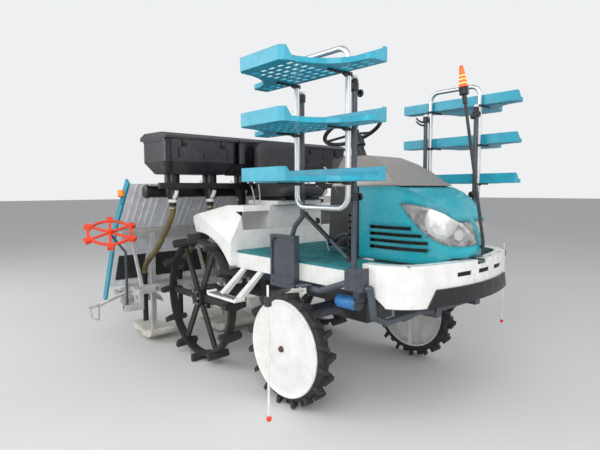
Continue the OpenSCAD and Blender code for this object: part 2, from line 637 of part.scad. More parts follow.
// Tray plan, outboard side up: a long inboard side, a stem outboard and hollow curves between
tray_mid_x = (rack_x0 + rack_x1) / 2 - 100;
tray_in = rack_y + rack_tube_r + 0.4;
stem_hw = 150;
end_d = 100;
tray_curve_r = tray_out - tray_in - end_d - 20;
function tray_half(i) = concat([[tray_half_l - i, tray_in + i]], [[tray_half_l - i, tray_in + end_d - 20]],
    [[tray_half_l - 16 - i, tray_in + end_d - i]],
    [for (t = [0:15:90]) [stem_hw + 8 - i + (tray_half_l - 40 - stem_hw) * (1 - sin(t)),
        tray_in + end_d - i + tray_curve_r * (1 - cos(t))]],
    [[stem_hw + 4 - i, tray_out - 20]], [[stem_hw - 14 - i, tray_out - i]]);
function tray_plan(i) = let (h = tray_half(i), n = len(h) - 1)
    concat(h, [for (k = [n:-1:0]) [-h[k][0], h[k][1]]]);
module tray() {
    difference() {
        along_z(tray_plan(0), 0, 62);
        along_z(tray_plan(4), 5, 63);
        // low rim on the hollow curves, tall walls inboard and at the ends
        along_x([[tray_in + end_d * 0.55, 24], [tray_out - 50, 24], [tray_out - 22, 64], [tray_in + 20, 64]],
            -tray_half_l - 1, tray_half_l + 1);
        for (s = [0, 1]) mirror([s, 0, 0])
            block(stem_hw + 30, tray_half_l - 60, tray_in + 20, tray_out, 24, 64);
        // floor slots
        for (x = [-120:60:120], y = [tray_in + 30:42:tray_out - 60]) block(x - 22, x + 22, y, y + 24, -1, 6);
        for (x = [-345, -285, -225, 225, 285, 345], y = [tray_in + 20, tray_in + 56])
            block(x - 22, x + 22, y, y + 20, -1, 6);
    }
}
module tray_set() color(teal) for (i = [0:tray_count - 1])
    translate([tray_mid_x + 100, 0, tray_z - tray_pitch * i]) tray();

// Fertiliser hoppers behind the seat

hopper_w = 560;
hopper_pitch = 580;
function hopper_y(i) = (i - 1) * hopper_pitch;
hopper_mid_x = -hopper_x0 - hopper_d / 2;
module hopper_shape(i) {
    translate([0, 0, hopper_rim_z - 150]) linear_extrude(150)
        polygon(rounded(hopper_d - 2 * i, hopper_w - 2 * i, 40 - i, 3));
    hull() {
        translate([0, 0, hopper_rim_z - 150]) linear_extrude(1)
            polygon(rounded(hopper_d - 2 * i, hopper_w - 2 * i, 40 - i, 3));
        translate([0, 0, hopper_low_z + 70]) linear_extrude(1)
            polygon(rounded(hopper_d - 150 - 2 * i, hopper_w - 90 - 2 * i, 30 - i, 3));
    }
}
module hoppers() color("dimgray") for (k = [0:hopper_count - 1])
    translate([hopper_mid_x, hopper_y(k), 0]) difference() {
        union() {
            hopper_shape(0);
            for (y = [-150, 150]) translate([0, y, hopper_low_z]) cylinder(h = 75, r = 52);
            // rim flange
            translate([0, 0, hopper_rim_z - 14]) linear_extrude(14) polygon(rounded(hopper_d, hopper_w + 12, 44, 3));
        }
        translate([0, 0, 5]) hopper_shape(5);
        translate([0, 0, hopper_rim_z - 10]) linear_extrude(20)
            polygon(rounded(hopper_d - 10, hopper_w - 10, 35, 3));
        for (y = [-150, 150]) translate([0, y, hopper_low_z - 1]) cylinder(h = 120, r = 40);
    }
lid_hinge_x = -hopper_x0 - hopper_d - 8;
lid_hinge_z = hopper_rim_z + 8;
module hopper_lid(k) color("black") translate([hopper_mid_x, hopper_y(k), 0]) difference() {
    along_y([[-hopper_d / 2 - 14, hopper_rim_z + gap], [hopper_d / 2 + 8, hopper_rim_z + gap],
        [hopper_d / 2 + 8, hopper_rim_z + 16], [hopper_d / 2 - 50, hopper_rim_z + 42],
        [-hopper_d / 2 + 60, hopper_rim_z + 48], [-hopper_d / 2 - 14, hopper_rim_z + 24]],
        -hopper_w / 2 - 6, hopper_w / 2 + 6);
    along_y([[-hopper_d / 2 - 2, hopper_rim_z], [hopper_d / 2 + 2, hopper_rim_z],
        [hopper_d / 2 + 2, hopper_rim_z + 12], [hopper_d / 2 - 52, hopper_rim_z + 37],
        [-hopper_d / 2 + 62, hopper_rim_z + 43], [-hopper_d / 2 - 2, hopper_rim_z + 21]],
        -hopper_w / 2 - 1, hopper_w / 2 + 1);
}

// Metering units, blower duct and their stand
module metering_units() color("black") {
    for (k = [0:hopper_count - 1], y = [-150, 150]) translate([hopper_mid_x, hopper_y(k) + y, 0]) {
        translate([0, 0, hopper_low_z - 76]) cylinder(h = 76 - gap, r = 50);
        translate([0, 0, hopper_low_z - 150]) cylinder(h = 75, r1 = 24, r2 = 34);
    }
    // duct along the rear
    pin_y(hopper_mid_x - 110, hopper_low_z - 50, 42, -860, 860);
    for (k = [0:hopper_count - 1], y = [-150, 150])
        rod([hopper_mid_x - 75, hopper_y(k) + y, hopper_low_z - 50], [hopper_mid_x - 40, hopper_y(k) + y, hopper_low_z - 50], 20);
    // stand on the frame tower
    for (y = [-200, 200]) {
        block(rail_x0 + 10, rail_x0 + 50, y - 20, y + 20, tower_z + gap, hopper_low_z - 30);
    }
    block(hopper_mid_x + 53, hopper_mid_x + 85, -860, 860, hopper_low_z - 30, hopper_low_z + 10);
    for (k = [0:hopper_count - 1], y = [-150, 150]) translate([hopper_mid_x, hopper_y(k) + y, 0])
        block(40, 60, -20, 20, hopper_low_z - 60, hopper_low_z - 29);
    for (y = [-200, 200]) block(rail_x0 + 10, hopper_mid_x + 86, y - 20, y + 20, hopper_low_z - 60, hopper_low_z - 29);
}

// Fertiliser hoses from the metering units down to the boots
module seedling_hoses() color("darkkhaki") for (s = [-1, 1], row = [0.5, 1.5, 2.5]) {
    yt = s * hose_top_y(row);
    yb = s * boot_y(row);
    ym = row < 1 ? s * 212 : yb;
    pipe([[hopper_mid_x, yt, hopper_low_z - 150 - gap], [hopper_mid_x, yt, hopper_low_z - 200], [-1300, ym, 780],
        [boot_x, yb, 606], [boot_x, yb, 559 + gap]], 21);
}
function hose_top_y(row) = row < 1 ? 150 : row < 2 ? hopper_pitch - 150 : hopper_pitch + 150;

// Lift linkage and planting section

link_x0 = -1000;
link_pin_r = 12;
low_pin_z = cross_z + 10 + link_l * sin(link_fall);
up_pin_z = low_pin_z + 280;
link_x1 = link_x0 - link_l * cos(link_fall);
link_dx = link_x1 - link_x0;
link_dz = -link_l * sin(link_fall);
module link_bar(z0, y0, y1) difference() {
    union() {
        pin_y(link_x0, z0, 24, y0, y1);
        pin_y(link_x1, z0 + link_dz, 24, y0, y1);
        along_y([[link_x1 + 6, z0 + link_dz - 13], [link_x0 - 6, z0 - 19], [link_x0 - 12, z0 + 13],
            [link_x1, z0 + link_dz + 18]], y0 + 2, y1 - 2);
    }
    pin_y(link_x0, z0, link_pin_r + run_gap, y0 - 5, y1 + 5);
    pin_y(link_x1, z0 + link_dz, link_pin_r + run_gap, y0 - 5, y1 + 5);
}
module lower_links() color(dark) {
    both_sides() link_bar(low_pin_z, 116, 145.7);
    both_sides() pin_y(link_x0, low_pin_z, link_pin_r, 104, 170);
    block(link_x0 + link_dx / 2 - 14, link_x0 + link_dx / 2 + 14, -122, 122, low_pin_z + link_dz / 2 - 10,
        low_pin_z + link_dz / 2 + 10);
}
module upper_link() color(dark) {
    link_bar(up_pin_z, -21.7, 21.7);
    pin_y(link_x0, up_pin_z, link_pin_r, -50, 50);
}

// The cross tube and the upper guide rail, each g larger all round to seat what stands on them
module cross_tube(g = 0) block(-cross_x - 30 - g, -cross_x + 30 + g, -880 - g, 880 + g,
    cross_z - 30 - g, cross_z + 30 + g);
module upper_rail(g = 0) along_y([rail_point(905 + g, 8 + gap - g), rail_point(852 - g, 8 + gap - g),
    rail_point(852 - g, 48 + g), rail_point(905 + g, 48 + g)], -880 - g, 880 + g);
module planting_frame() color("lightgray") {
    low_z = low_pin_z + link_dz;
    up_z = up_pin_z + link_dz;
    cross_tube();
    upper_rail();
    // mast with the lugs of the links
    difference() {
        union() {
            both_sides() {
                along_y([[-cross_x + 10, cross_z + 20], [-cross_x + 29, cross_z - 20], [link_x1 + 26, low_z - 24],
                    [link_x1 + 26, low_z + 26], [-cross_x + 60, low_z + 60], [-cross_x + 30, up_z + 40],
                    [-cross_x - 10, up_z + 40]], 146, 158);
                along_y([[-cross_x - 10, up_z - 26], [link_x1 + 26, up_z - 26], [link_x1 + 26, up_z + 26],
                    [-cross_x - 10, up_z + 26]], 22.5, 34);
                pin_y(link_x1, low_z, link_pin_r, 100, 170);
            }
            block(-cross_x - 30, -cross_x - 9, -158, 158, up_z - 30, up_z + 40);
            pin_y(link_x1, up_z, link_pin_r, -50, 50);
        }
        cross_tube(gap);
    }
    // lugs of the row marker
    both_sides() {
        block(-cross_x + 30 + gap, marker_px + 34, min(850, marker_py - 110), marker_py - 81, marker_pz - 28,
            cross_z + 20);
        for (e = [-1, 1]) block(marker_px + e * 25 - 9, marker_px + e * 25 + 9, marker_py - 82, marker_py + 28,
            marker_pz - 28, marker_pz + 20);
        translate([marker_px - 34, marker_py, marker_pz]) rotate([0, 90, 0]) cylinder(h = 68, r = 10);
    }
    // stays from the cross tube to the platform's upper guide rail
    both_sides() for (y = [250, 805]) difference() {
        along_y([[-cross_x - 20, cross_z + 29], [-cross_x + 20, cross_z + 29], rail_point(870, 40),
            rail_point(850, 46)], y - 9, y + 9);
        cross_tube(gap);
        upper_rail(gap);
    }
    // posts beside the outer cases, each with its foot on a float
    both_sides() along_y([[-1640, float_z + 46 + gap], [-1603, float_z + 46 + gap], [-1595, 875], [-1620, 860]], 2 * row_pitch + 30 + gap,
        2 * row_pitch + 66);
    // lower guide rail that rests on the planting cases
    along_y([[-1902, case_top(1902) + gap], [-1862, case_top(1862) + gap], [-1862, sheet_low_z - 3.6],
        [-1902, sheet_low_z - 3.6]], -765, 765);
}

// Front face of the platform: top, kink and lower line with their normals
platform_kink_z = 920;
face_top = [-1400, platform_top_z];
face_kink = [-1655, platform_kink_z];
face_low = [-1942, 290];
function unit(v) = v / norm(v);
function front_normal(a, b) = let (d = unit(b - a)) [-d[1], d[0]];
normal_up = front_normal(face_top, face_kink);
normal_low = front_normal(face_kink, face_low);
normal_kink = (normal_up + normal_low) / (1 + normal_up * normal_low);
// A point in front of the lower face, off in front of height z
function rail_point(z, off) = face_kink + (face_low - face_kink) * (platform_kink_z - z) / (platform_kink_z - 290)
    + off * normal_low;
module platform_strip(front, back, z_low, y0, y1) along_y([face_top + front * normal_up,
    face_kink + front * normal_kink, rail_point(z_low, front), rail_point(z_low, back),
    face_kink + back * normal_kink, face_top + back * normal_up], y0, y1);

case_ys = [-2 * row_pitch, 0, 2 * row_pitch];
function case_top(x) = cross_z + 25 - (x - cross_x - 30 - gap) * (cross_z + 25 - rotor_z - 42) / (rotor_x - cross_x - 30 - gap);
module planting_cases() color("silver") for (y = case_ys) difference() {
    union() {
        along_y([[-cross_x - 30 - gap, cross_z - 25], [-cross_x - 30 - gap, cross_z + 25], [-rotor_x, rotor_z + 42],
            [-rotor_x, rotor_z - 42]], y - 30, y + 30);
        pin_y(-rotor_x, rotor_z, 42, y - 30, y + 30);
    }
    pin_y(-rotor_x, rotor_z, rotor_shaft_r + run_gap, y - 31, y + 31);
}
rotor_shaft_r = 14;
arm_pin_r = 10;
// Rotary cases at both sides of each planting case; the arms' pins are at both ends
module planting_rotors() color("silver") for (y = case_ys) {
    pin_y(-rotor_x, rotor_z, rotor_shaft_r, y - 80, y + 80);
    for (s = [-1, 1]) translate([-rotor_x, y + s * 84, rotor_z]) rotate([90, rotor_phase, 0]) difference() {
        translate([0, 0, -21.5]) linear_extrude(43)
            polygon(rounded(2 * (rotor_orbit + rotor_end_r), 2 * rotor_end_r + 6, rotor_end_r, 6));
        for (e = [-1, 1]) translate([e * rotor_orbit, 0, -30]) cylinder(h = 60, r = arm_pin_r + run_gap);
    }
}
module planting_arms(e) color("lightgray") {
    px = -rotor_x + e * rotor_orbit * cos(rotor_phase);
    pz = rotor_z - e * rotor_orbit * sin(rotor_phase);
    for (y = case_ys, s = [-1, 1]) {
        pin_y(px, pz, arm_pin_r, y + min(s * 64, s * 152), y + max(s * 64, s * 152));
        yc = y + s * row_pitch / 2;
        along_y([[px - 26, pz + 8], [px - 14, pz + 24], [px + 12, pz + 20], [px + 78, pz - 6], [px + 80, pz - 24],
            [px + 8, pz - 22], [px - 20, pz - 16]], yc - 15, yc + 15);
        // pair of claws, bent down towards the mats
        for (f = [-9, 5]) along_y([[px + 70, pz - 4], [px + 112, pz - 14], [px + 122, pz - 34], [px + 104, pz - 24],
            [px + 70, pz - 12]], yc + f, yc + f + 4);
    }
}

// Floats: side view swept across, the nose turned up
function float_side(x0, x1) = concat([[x1, float_z + 60], [x1 + 10, float_z + 8], [x1 + 30, float_z]],
    [[x0 - 130, float_z]], arc(x0 - 130, float_z + 90, 90, 270, 340, 4),
    [[x0 - 60, float_z + 78], [x0 - 150, float_z + 46], [x1 + 60, float_z + 46]]);
module floats() color("ivory") {
    along_y(float_side(-1220, -1960), -95, 95);
    along_y(float_side(-1220, -1560), -200, 200);
    block(-1640, -1600, -12, 12, float_z + 45, 380.4);
    both_sides() {
        along_y(float_side(-1450, -1930), 2 * row_pitch - 95, 2 * row_pitch + 95);
        along_y(float_side(-1450, -1710), 2 * row_pitch - 125, 2 * row_pitch + 125);
    }
}

// Fertiliser boots behind the cross tube
module planting_boots() color("black") both_sides() for (row = [0.5, 1.5, 2.5]) let (y = boot_y(row)) {
    translate([boot_x, y, 190]) cylinder(h = 330, r = 20);
    translate([boot_x, y, 519]) cylinder(h = 40, r1 = 20, r2 = 27);
    block(boot_x, -cross_x - 30 - gap, y - 14, y + 14, cross_z - 20, cross_z + 20);
}
boot_x = -1536;
function boot_y(row) = row < 1 ? 190 : row * row_pitch;

module side_guards() color("gray") both_sides() {
    pipe([[-cross_x - 12, 881.6, cross_z], [-cross_x - 12, 925, cross_z - 5], [-1620, 1065, 350],
        [-1860, 1065, 285]], 12);
    pipe([[-1650, 1065, 341], [-1660, 1065, 225], [-1810, 1065, 210], [-1845, 1065, 288]], 5);
}

// Seedling platform: ribbed sheet with windows for the belts, dividers and side bars
platform_hw = 3 * mat_pitch;
function belt_window(k) = -platform_hw + mat_pitch * k;
module seedling_platform() color("silver") {
    difference() {
        platform_strip(0, -5, sheet_low_z, -platform_hw, platform_hw);
        for (k = [0:5]) along_y([rail_point(690, 10), rail_point(470, 10), rail_point(470, -10),
            rail_point(690, -10)], belt_window(k) + 34, belt_window(k) + mat_pitch - 34);
    }
    for (k = [-3:3]) platform_strip(-4, -55, sheet_low_z, k * mat_pitch - 4, k * mat_pitch + 4);
    // ribs below the upper half
    for (k = [0:5], r = [1:5]) let (y = belt_window(k) + mat_pitch * r / 6)
        along_y([face_top + 8 * normal_up, face_kink + 8 * normal_kink, face_kink - 1 * normal_kink,
            face_top - 1 * normal_up], y - 6, y + 6);
    // edges above the windows and at the foot
    for (z = [700, sheet_low_z + 12]) along_y([rail_point(z + 12, 8), rail_point(z - 12, 8), rail_point(z - 12, -2),
        rail_point(z + 12, -2)], -platform_hw, platform_hw);
}
// Belts that carry the mats down, two a row
module platform_belts() color("black") for (k = [0:5]) {
    for (h = [0, 1]) along_y([rail_point(684, -14), rail_point(476, -14), rail_point(476, 4), rail_point(684, 4)],
        belt_window(k) + 40 + 112 * h, belt_window(k) + 146 + 112 * h);
    for (z = [486, 674]) let (p = rail_point(z, -12)) pin_y(p[0], p[1], 6, belt_window(k) + 4 + gap,
        belt_window(k) + mat_pitch - 4 - gap);
}
module platform_side_bars() color(teal) both_sides() {
    platform_strip(-2, -60, platform_low_z, platform_hw + 4 + gap, platform_hw + 20);
    // winker on its stalk
    pipe([[-1520, platform_hw + 19, 1085], [-1512, platform_hw + 34, 1110], [-1500, platform_hw + 34, 1160]], 5);
    color("orange") translate([-1500, platform_hw + 34, 1158]) cylinder(h = 50, r1 = 22, r2 = 26);
}

// Row markers, folded up beside the planting section
marker_px = -1370;
marker_py = 960;
marker_pz = 360;
marker_hub = [-1411, 1050, 902];
marker_r = 190;
marker_tilt = 30;
marker_toe = 20;
marker_dir = [sin(marker_tilt) * cos(marker_toe), sin(marker_tilt) * sin(marker_toe), cos(marker_tilt)];
module marker_arm() color(dark) {
    difference() {
        translate([marker_px - 14, marker_py, marker_pz]) rotate([0, 90, 0]) cylinder(h = 28, r = 24);
        translate([marker_px - 15, marker_py, marker_pz]) rotate([0, 90, 0]) cylinder(h = 30, r = 10 + run_gap);
    }
    pipe([[marker_px, marker_py, marker_pz + 20], [marker_px, marker_py, 760], [-1408, 1030, 868], marker_hub - marker_dir * 14], 9);
    rod(marker_hub - marker_dir * 20, marker_hub + marker_dir * 22, 7);
}
module marker_wheel() color("orangered") translate(marker_hub) rotate([0, marker_tilt, marker_toe]) {
    difference() {
        cylinder(h = 12, r = 154, $fn = 64);
        translate([0, 0, -1]) cylinder(h = 14, r = 136, $fn = 64);
    }
    difference() {
        cylinder(h = 24, r = 24);
        translate([0, 0, -1]) cylinder(h = 26, r = 7 + run_gap);
    }
    for (i = [0:5]) rotate([0, 0, 60 * i]) {
        block(18, 150, -9, 9, 1, 11);
        block(150, marker_r, -22, 22, -12, 14);
    }
}

// Side markers in front, out on their round arms
arm_root = [140, side_bar_y + 39, side_bar_z - 4];
arm_knee = [300, arm_root[1] + 0.58 * (rod_y - arm_root[1]), 735];
module side_marker() color("ivory") {
    color(dark) difference() {
        union() {
            rod(arm_root + [6, 10.4, 2], arm_knee, 10.5);
            rod(arm_knee, [438, rod_y - 3, 742], 10.5);
            translate(arm_knee) rotate([90, 0, 0]) sphere(11);
            translate([arm_root[0], arm_root[1], 656]) cylinder(h = 34, r = 20);
            translate([438, rod_y, 722]) cylinder(h = 40, r = 16);
        }
        translate([arm_root[0], arm_root[1], 650]) cylinder(h = 46, r = 8 + run_gap);
    }
    translate([438, rod_y, rod_low_z + 12]) cylinder(h = rod_top_z - rod_low_z - 12, r = 5);
    translate([438, rod_y, rod_low_z + 12]) sphere(12);
}

machine() main_frame();
machine() engine_block();
machine() transmission();
machine() front_axle();
machine() rear_axle();
machine() floor_panel();
machine() floor_mat();
machine() rear_section() rear_body();
machine() front_bumper();
machine() bumper_strip();
machine() dash_panel();
machine() steering_column();
machine() rear_section() side_steps();
machine() side_bars();
machine() rack_posts();
machine() rack_loops();
machine() on_left() tray_set();  // rack_trays_right
machine() tray_set();  // rack_trays_left
machine() rear_section() hoppers();
machine() rear_section() metering_units();
machine() rear_section() seedling_hoses();
machine() knuckle_right();
machine() on_left() knuckle_right();  // knuckle_left
machine() right_hub(0, front_r) front_wheel();  // front_wheel_right
machine() on_left() right_hub(0, front_r) front_wheel();  // front_wheel_left
machine() right_hub(0, front_r) front_tyre();  // front_tyre_right
machine() on_left() right_hub(0, front_r) front_tyre();  // front_tyre_left
machine() right_hub(rear_x, rear_r) rear_wheel();  // rear_wheel_right
machine() on_left() right_hub(rear_x, rear_r) rear_wheel();  // rear_wheel_left
machine() right_hub(rear_x, rear_r) rear_tyre();  // rear_tyre_right
machine() on_left() right_hub(rear_x, rear_r) rear_tyre();  // rear_tyre_left
machine() steering_wheel();
machine() bonnet();
machine() bonnet_top();
machine() headlamps();
machine() centre_pole();
machine() rear_section() seat();
machine() rear_section() hopper_lid(0);  // hopper_lid_right
machine() rear_section() hopper_lid(1);  // hopper_lid_centre
machine() rear_section() hopper_lid(2);  // hopper_lid_left
machine() rear_section() lower_links();
machine() rear_section() upper_link();
machine() rear_section() planting_frame();
machine() rear_section() planting_cases();
machine() rear_section() floats();
machine() rear_section() planting_boots();
machine() rear_section() side_guards();
machine() rear_section() seedling_platform();
machine() rear_section() platform_belts();
machine() rear_section() platform_side_bars();
machine() rear_section() planting_rotors();
machine() rear_section() planting_arms(1);  // planting_arms_front
machine() rear_section() planting_arms(-1);  // planting_arms_rear
machine() rear_section() on_left() marker_arm();  // marker_arm_right
machine() rear_section() marker_arm();  // marker_arm_left
machine() rear_section() on_left() marker_wheel();  // marker_wheel_right
machine() rear_section() marker_wheel();  // marker_wheel_left
machine() on_left() side_marker();  // side_marker_right
machine() side_marker();  // side_marker_left
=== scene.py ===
import logging
import math
from dataclasses import dataclass, field
from enum import Enum
from typing import Callable, Iterable, Sequence

import bmesh
import bpy
from mathutils import Matrix, Vector


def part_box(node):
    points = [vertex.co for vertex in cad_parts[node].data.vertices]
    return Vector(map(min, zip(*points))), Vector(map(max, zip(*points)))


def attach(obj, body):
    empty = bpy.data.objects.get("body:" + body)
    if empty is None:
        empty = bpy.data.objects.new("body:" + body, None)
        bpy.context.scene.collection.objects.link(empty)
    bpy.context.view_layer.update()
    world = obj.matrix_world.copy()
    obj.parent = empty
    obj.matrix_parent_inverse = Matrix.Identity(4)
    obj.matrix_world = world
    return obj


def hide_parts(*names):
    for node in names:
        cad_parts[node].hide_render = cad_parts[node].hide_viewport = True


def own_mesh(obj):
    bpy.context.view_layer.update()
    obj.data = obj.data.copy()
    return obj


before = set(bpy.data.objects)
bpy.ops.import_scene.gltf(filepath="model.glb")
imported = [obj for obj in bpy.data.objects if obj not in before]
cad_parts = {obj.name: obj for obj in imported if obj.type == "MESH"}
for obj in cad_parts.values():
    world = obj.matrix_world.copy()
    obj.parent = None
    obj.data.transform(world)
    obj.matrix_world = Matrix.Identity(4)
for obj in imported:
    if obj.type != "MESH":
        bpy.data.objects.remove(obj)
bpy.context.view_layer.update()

LOG = logging.getLogger("transplanter")
Colour = tuple[float, float, float]
Point = tuple[float, float, float]
SIDES = (-1, 1)
MIX_FIRST, MIX_SECOND, MIX_RESULT = 6, 7, 2  # colour sockets of a mix node
BAND_BLUR = 0.0008
SPOT_BLUR = 0.002


class Texture(Enum):
    """Relief of a surface, apart from its fine grain."""

    NONE = "none"
    RINGS = "rings"
    CAST = "cast"
    BRUSHED = "brushed"
    LEATHER = "leather"


@dataclass(frozen=True)
class Band:
    """Another colour above or below a height of the row frame."""

    height: float
    above: bool
    colour: Colour


@dataclass(frozen=True)
class HighlightSpot:
    """A painted highlight: another colour within a radius of a row point, on both sides of the machine."""

    centre: Point
    radius: float
    colour: Colour


@dataclass(frozen=True)
class Grime:
    """Mud and dust that thins out with height."""

    colour: Colour = (0.105, 0.082, 0.058)
    amount: float = 0.25
    scale: float = 9.0
    low: float = 0.1
    high: float = 1.2


@dataclass(frozen=True)
class Finish:
    """One surface finish, built as a node material."""

    name: str
    colour: Colour
    roughness: float = 0.5
    metallic: float = 0.0
    coat: float = 0.0
    shade: float = 0.12
    shade_scale: float = 14.0
    grain: float = 0.08
    grain_scale: float = 700.0
    edge: float = 0.0015
    texture: Texture = Texture.NONE
    wear: Colour | None = None
    wear_amount: float = 0.35
    glow: float = 0.0
    bands: tuple[Band, ...] = ()
    # painted highlights: lighter circles that stand in for reflections
    highlight_spots: tuple[HighlightSpot, ...] = ()
    grime: Grime | None = Grime()

    def material(self) -> bpy.types.Material:
        """Builds the material once and returns it.

        Returns:
            The node material of this finish.
        """
        known = bpy.data.materials.get(self.name)
        if known is not None:
            return known
        made = bpy.data.materials.new(self.name)
        made.use_nodes = True
        made.diffuse_color = (*self.colour, 1.0)
        Graph(made, self).build()
        return made


class Graph:
    """Node graph of one finish."""

    def __init__(self, material: bpy.types.Material, finish: Finish) -> None:
        """Keeps the material's nodes and links.

        Args:
            material: Material to fill.
            finish: Finish to follow.
        """
        self.finish = finish
        self.nodes = material.node_tree.nodes
        self.links = material.node_tree.links
        self.nodes.clear()
        self.place = self.node("ShaderNodeTexCoord").outputs["Object"]

    def node(self, kind: str, inputs: dict[int | str, object] | None = None, **values: object) -> bpy.types.Node:
        """Adds a node, sets its properties and feeds its inputs.

        Args:
            kind: Node type.
            inputs: Output sockets or plain values, by the name or index of the input.
            values: Properties by name.

        Returns:
            The node.
        """
        made = self.nodes.new(kind)
        for key, value in values.items():
            setattr(made, key, value)
        for key, value in (inputs or {}).items():
            self.feed(made.inputs[key], value)
        return made

    def feed(self, socket: bpy.types.NodeSocket, source: object) -> None:
        """Links an output to a socket, or sets the socket to a value.

        Args:
            socket: Input to feed.
            source: Output socket or plain value.
        """
        if isinstance(source, bpy.types.NodeSocket):
            self.links.new(source, socket)
        elif isinstance(source, tuple) and len(source) == 3 and socket.type == "RGBA":
            socket.default_value = (*source, 1.0)
        else:
            socket.default_value = source

    def noise(self, scale: float, detail: float = 4.0, stretch: Point = (1, 1, 1)) -> bpy.types.NodeSocket:
        """Noise over the object's own coordinates.

        Args:
            scale: Noise scale per metre.
            detail: Octaves.
            stretch: Scale of each axis.

        Returns:
            The noise factor.
        """
        source = self.place
        if stretch != (1, 1, 1):
            source = self.node("ShaderNodeMapping", {"Vector": source, "Scale": stretch}).outputs["Vector"]
        made = self.node("ShaderNodeTexNoise", {"Vector": source, "Scale": scale, "Detail": detail})
        return made.outputs["Fac"]

    def ramp(self, source: object, low: float, high: float, out_low: float = 0.0,
             out_high: float = 1.0) -> bpy.types.NodeSocket:
        """Maps a range to another with a clamp.

        Args:
            source: Value in.
            low: Start of the range in.
            high: End of the range in.
            out_low: Start of the range out.
            out_high: End of the range out.

        Returns:
            The mapped value.
        """
        made = self.node("ShaderNodeMapRange", {"Value": source, "From Min": low, "From Max": high,
                                                "To Min": out_low, "To Max": out_high}, clamp=True)
        return made.outputs["Result"]

    def math(self, operation: str, first: object, second: object = 0.0) -> bpy.types.NodeSocket:
        """One arithmetic step.

        Args:
            operation: Blender's name of the operation.
            first: First value.
            second: Second value.

        Returns:
            The result.
        """
        return self.node("ShaderNodeMath", {0: first, 1: second}, operation=operation).outputs[0]

    def mix(self, factor: object, first: object, second: object) -> bpy.types.NodeSocket:
        """Mixes two colours.

        Args:
            factor: Share of the second colour.
            first: First colour.
            second: Second colour.

        Returns:
            The mixed colour.
        """
        made = self.node("ShaderNodeMix", {0: factor, MIX_FIRST: first, MIX_SECOND: second}, data_type="RGBA")
        return made.outputs[MIX_RESULT]

    def colour(self) -> bpy.types.NodeSocket:
        """Base colour with random shading, bands, painted highlights, wear and grime.

        Returns:
            The colour output.
        """
        finish = self.finish
        dark = tuple(c * (1 - finish.shade) for c in finish.colour)
        light = tuple(min(1.0, c * (1 + finish.shade * 0.5)) for c in finish.colour)
        result = self.mix(self.ramp(self.noise(finish.shade_scale), 0.35, 0.65), dark, light)
        row_z = self.node("ShaderNodeSeparateXYZ", {0: self.place}).outputs["Z"]
        for band in finish.bands:
            step = self.ramp(row_z, band.height - BAND_BLUR, band.height + BAND_BLUR,
                             0.0 if band.above else 1.0, 1.0 if band.above else 0.0)
            result = self.mix(step, result, band.colour)
        # Painted highlights: lighter circles that stand in for reflections.
        for spot in finish.highlight_spots:
            result = self.mix(self.near(spot), result, spot.colour)
        if finish.wear is not None:
            start = 0.72 - 0.2 * finish.wear_amount
            chips = self.ramp(self.noise(90.0, 6.0), start, start + 0.02)
            patches = self.ramp(self.noise(6.0, 3.0), 0.45, 0.7)
            result = self.mix(self.math("MULTIPLY", chips, patches), result, finish.wear)
        if finish.grime is not None:
            grime = finish.grime
            spread = self.ramp(self.noise(grime.scale, 8.0, (1, 1, 0.5)), 0.62 - grime.amount * 0.5, 0.72)
            specks = self.ramp(self.noise(140.0, 3.0), 0.60, 0.70, 0.25, 1.0)
            height = self.ramp(row_z, grime.low, grime.high, 1.0, 0.18)
            amount = self.math("MULTIPLY", self.math("MULTIPLY", spread, specks), height)
            result = self.mix(self.math("MULTIPLY", amount, min(1.0, grime.amount * 2.4)), result, grime.colour)
        return result

    def near(self, spot: HighlightSpot) -> bpy.types.NodeSocket:
        """Share of a painted highlight at each place.

        Args:
            spot: Painted highlight on the left side.

        Returns:
            One within the spot, nothing outside it.
        """
        sides = self.node("ShaderNodeVectorMath", {0: self.place}, operation="ABSOLUTE")
        away = self.node("ShaderNodeVectorMath", {0: sides.outputs[0], 1: spot.centre}, operation="DISTANCE")
        return self.ramp(away.outputs["Value"], spot.radius - SPOT_BLUR, spot.radius + SPOT_BLUR, 1.0, 0.0)

    def normal(self) -> bpy.types.NodeSocket:
        """Rounded edges with the relief on top.

        Returns:
            The normal output.
        """
        finish = self.finish
        source = self.node("ShaderNodeBevel", {"Radius": finish.edge}, samples=4).outputs[0]
        if finish.texture is Texture.RINGS:
            wave = self.node("ShaderNodeTexWave", {"Vector": self.place, "Scale": 38.0}, wave_type="BANDS",
                             bands_direction="Z", wave_profile="SIN")
            source = self.bump(wave.outputs["Fac"], 0.9, 0.003, source)
        elif finish.texture is Texture.CAST:
            source = self.bump(self.noise(230.0, 2.0), 0.35, 0.0015, source)
        elif finish.texture is Texture.BRUSHED:
            source = self.bump(self.noise(60.0, 3.0, (1, 1, 14)), 0.12, 0.001, source)
        elif finish.texture is Texture.LEATHER:
            cells = self.node("ShaderNodeTexVoronoi", {"Vector": self.place, "Scale": 320.0})
            source = self.bump(cells.outputs["Distance"], 0.25, 0.001, source)
        return self.bump(self.noise(finish.grain_scale, 2.0), finish.grain, 0.0006, source)

    def bump(self, height: object, strength: float, distance: float, normal: object) -> bpy.types.NodeSocket:
        """Relief from a height.

        Args:
            height: Height output.
            strength: Strength from 0 to 1.
            distance: Depth in metres.
            normal: Normal below.

        Returns:
            The normal output.
        """
        made = self.node("ShaderNodeBump", {"Strength": strength, "Distance": distance, "Height": height,
                                            "Normal": normal})
        return made.outputs[0]

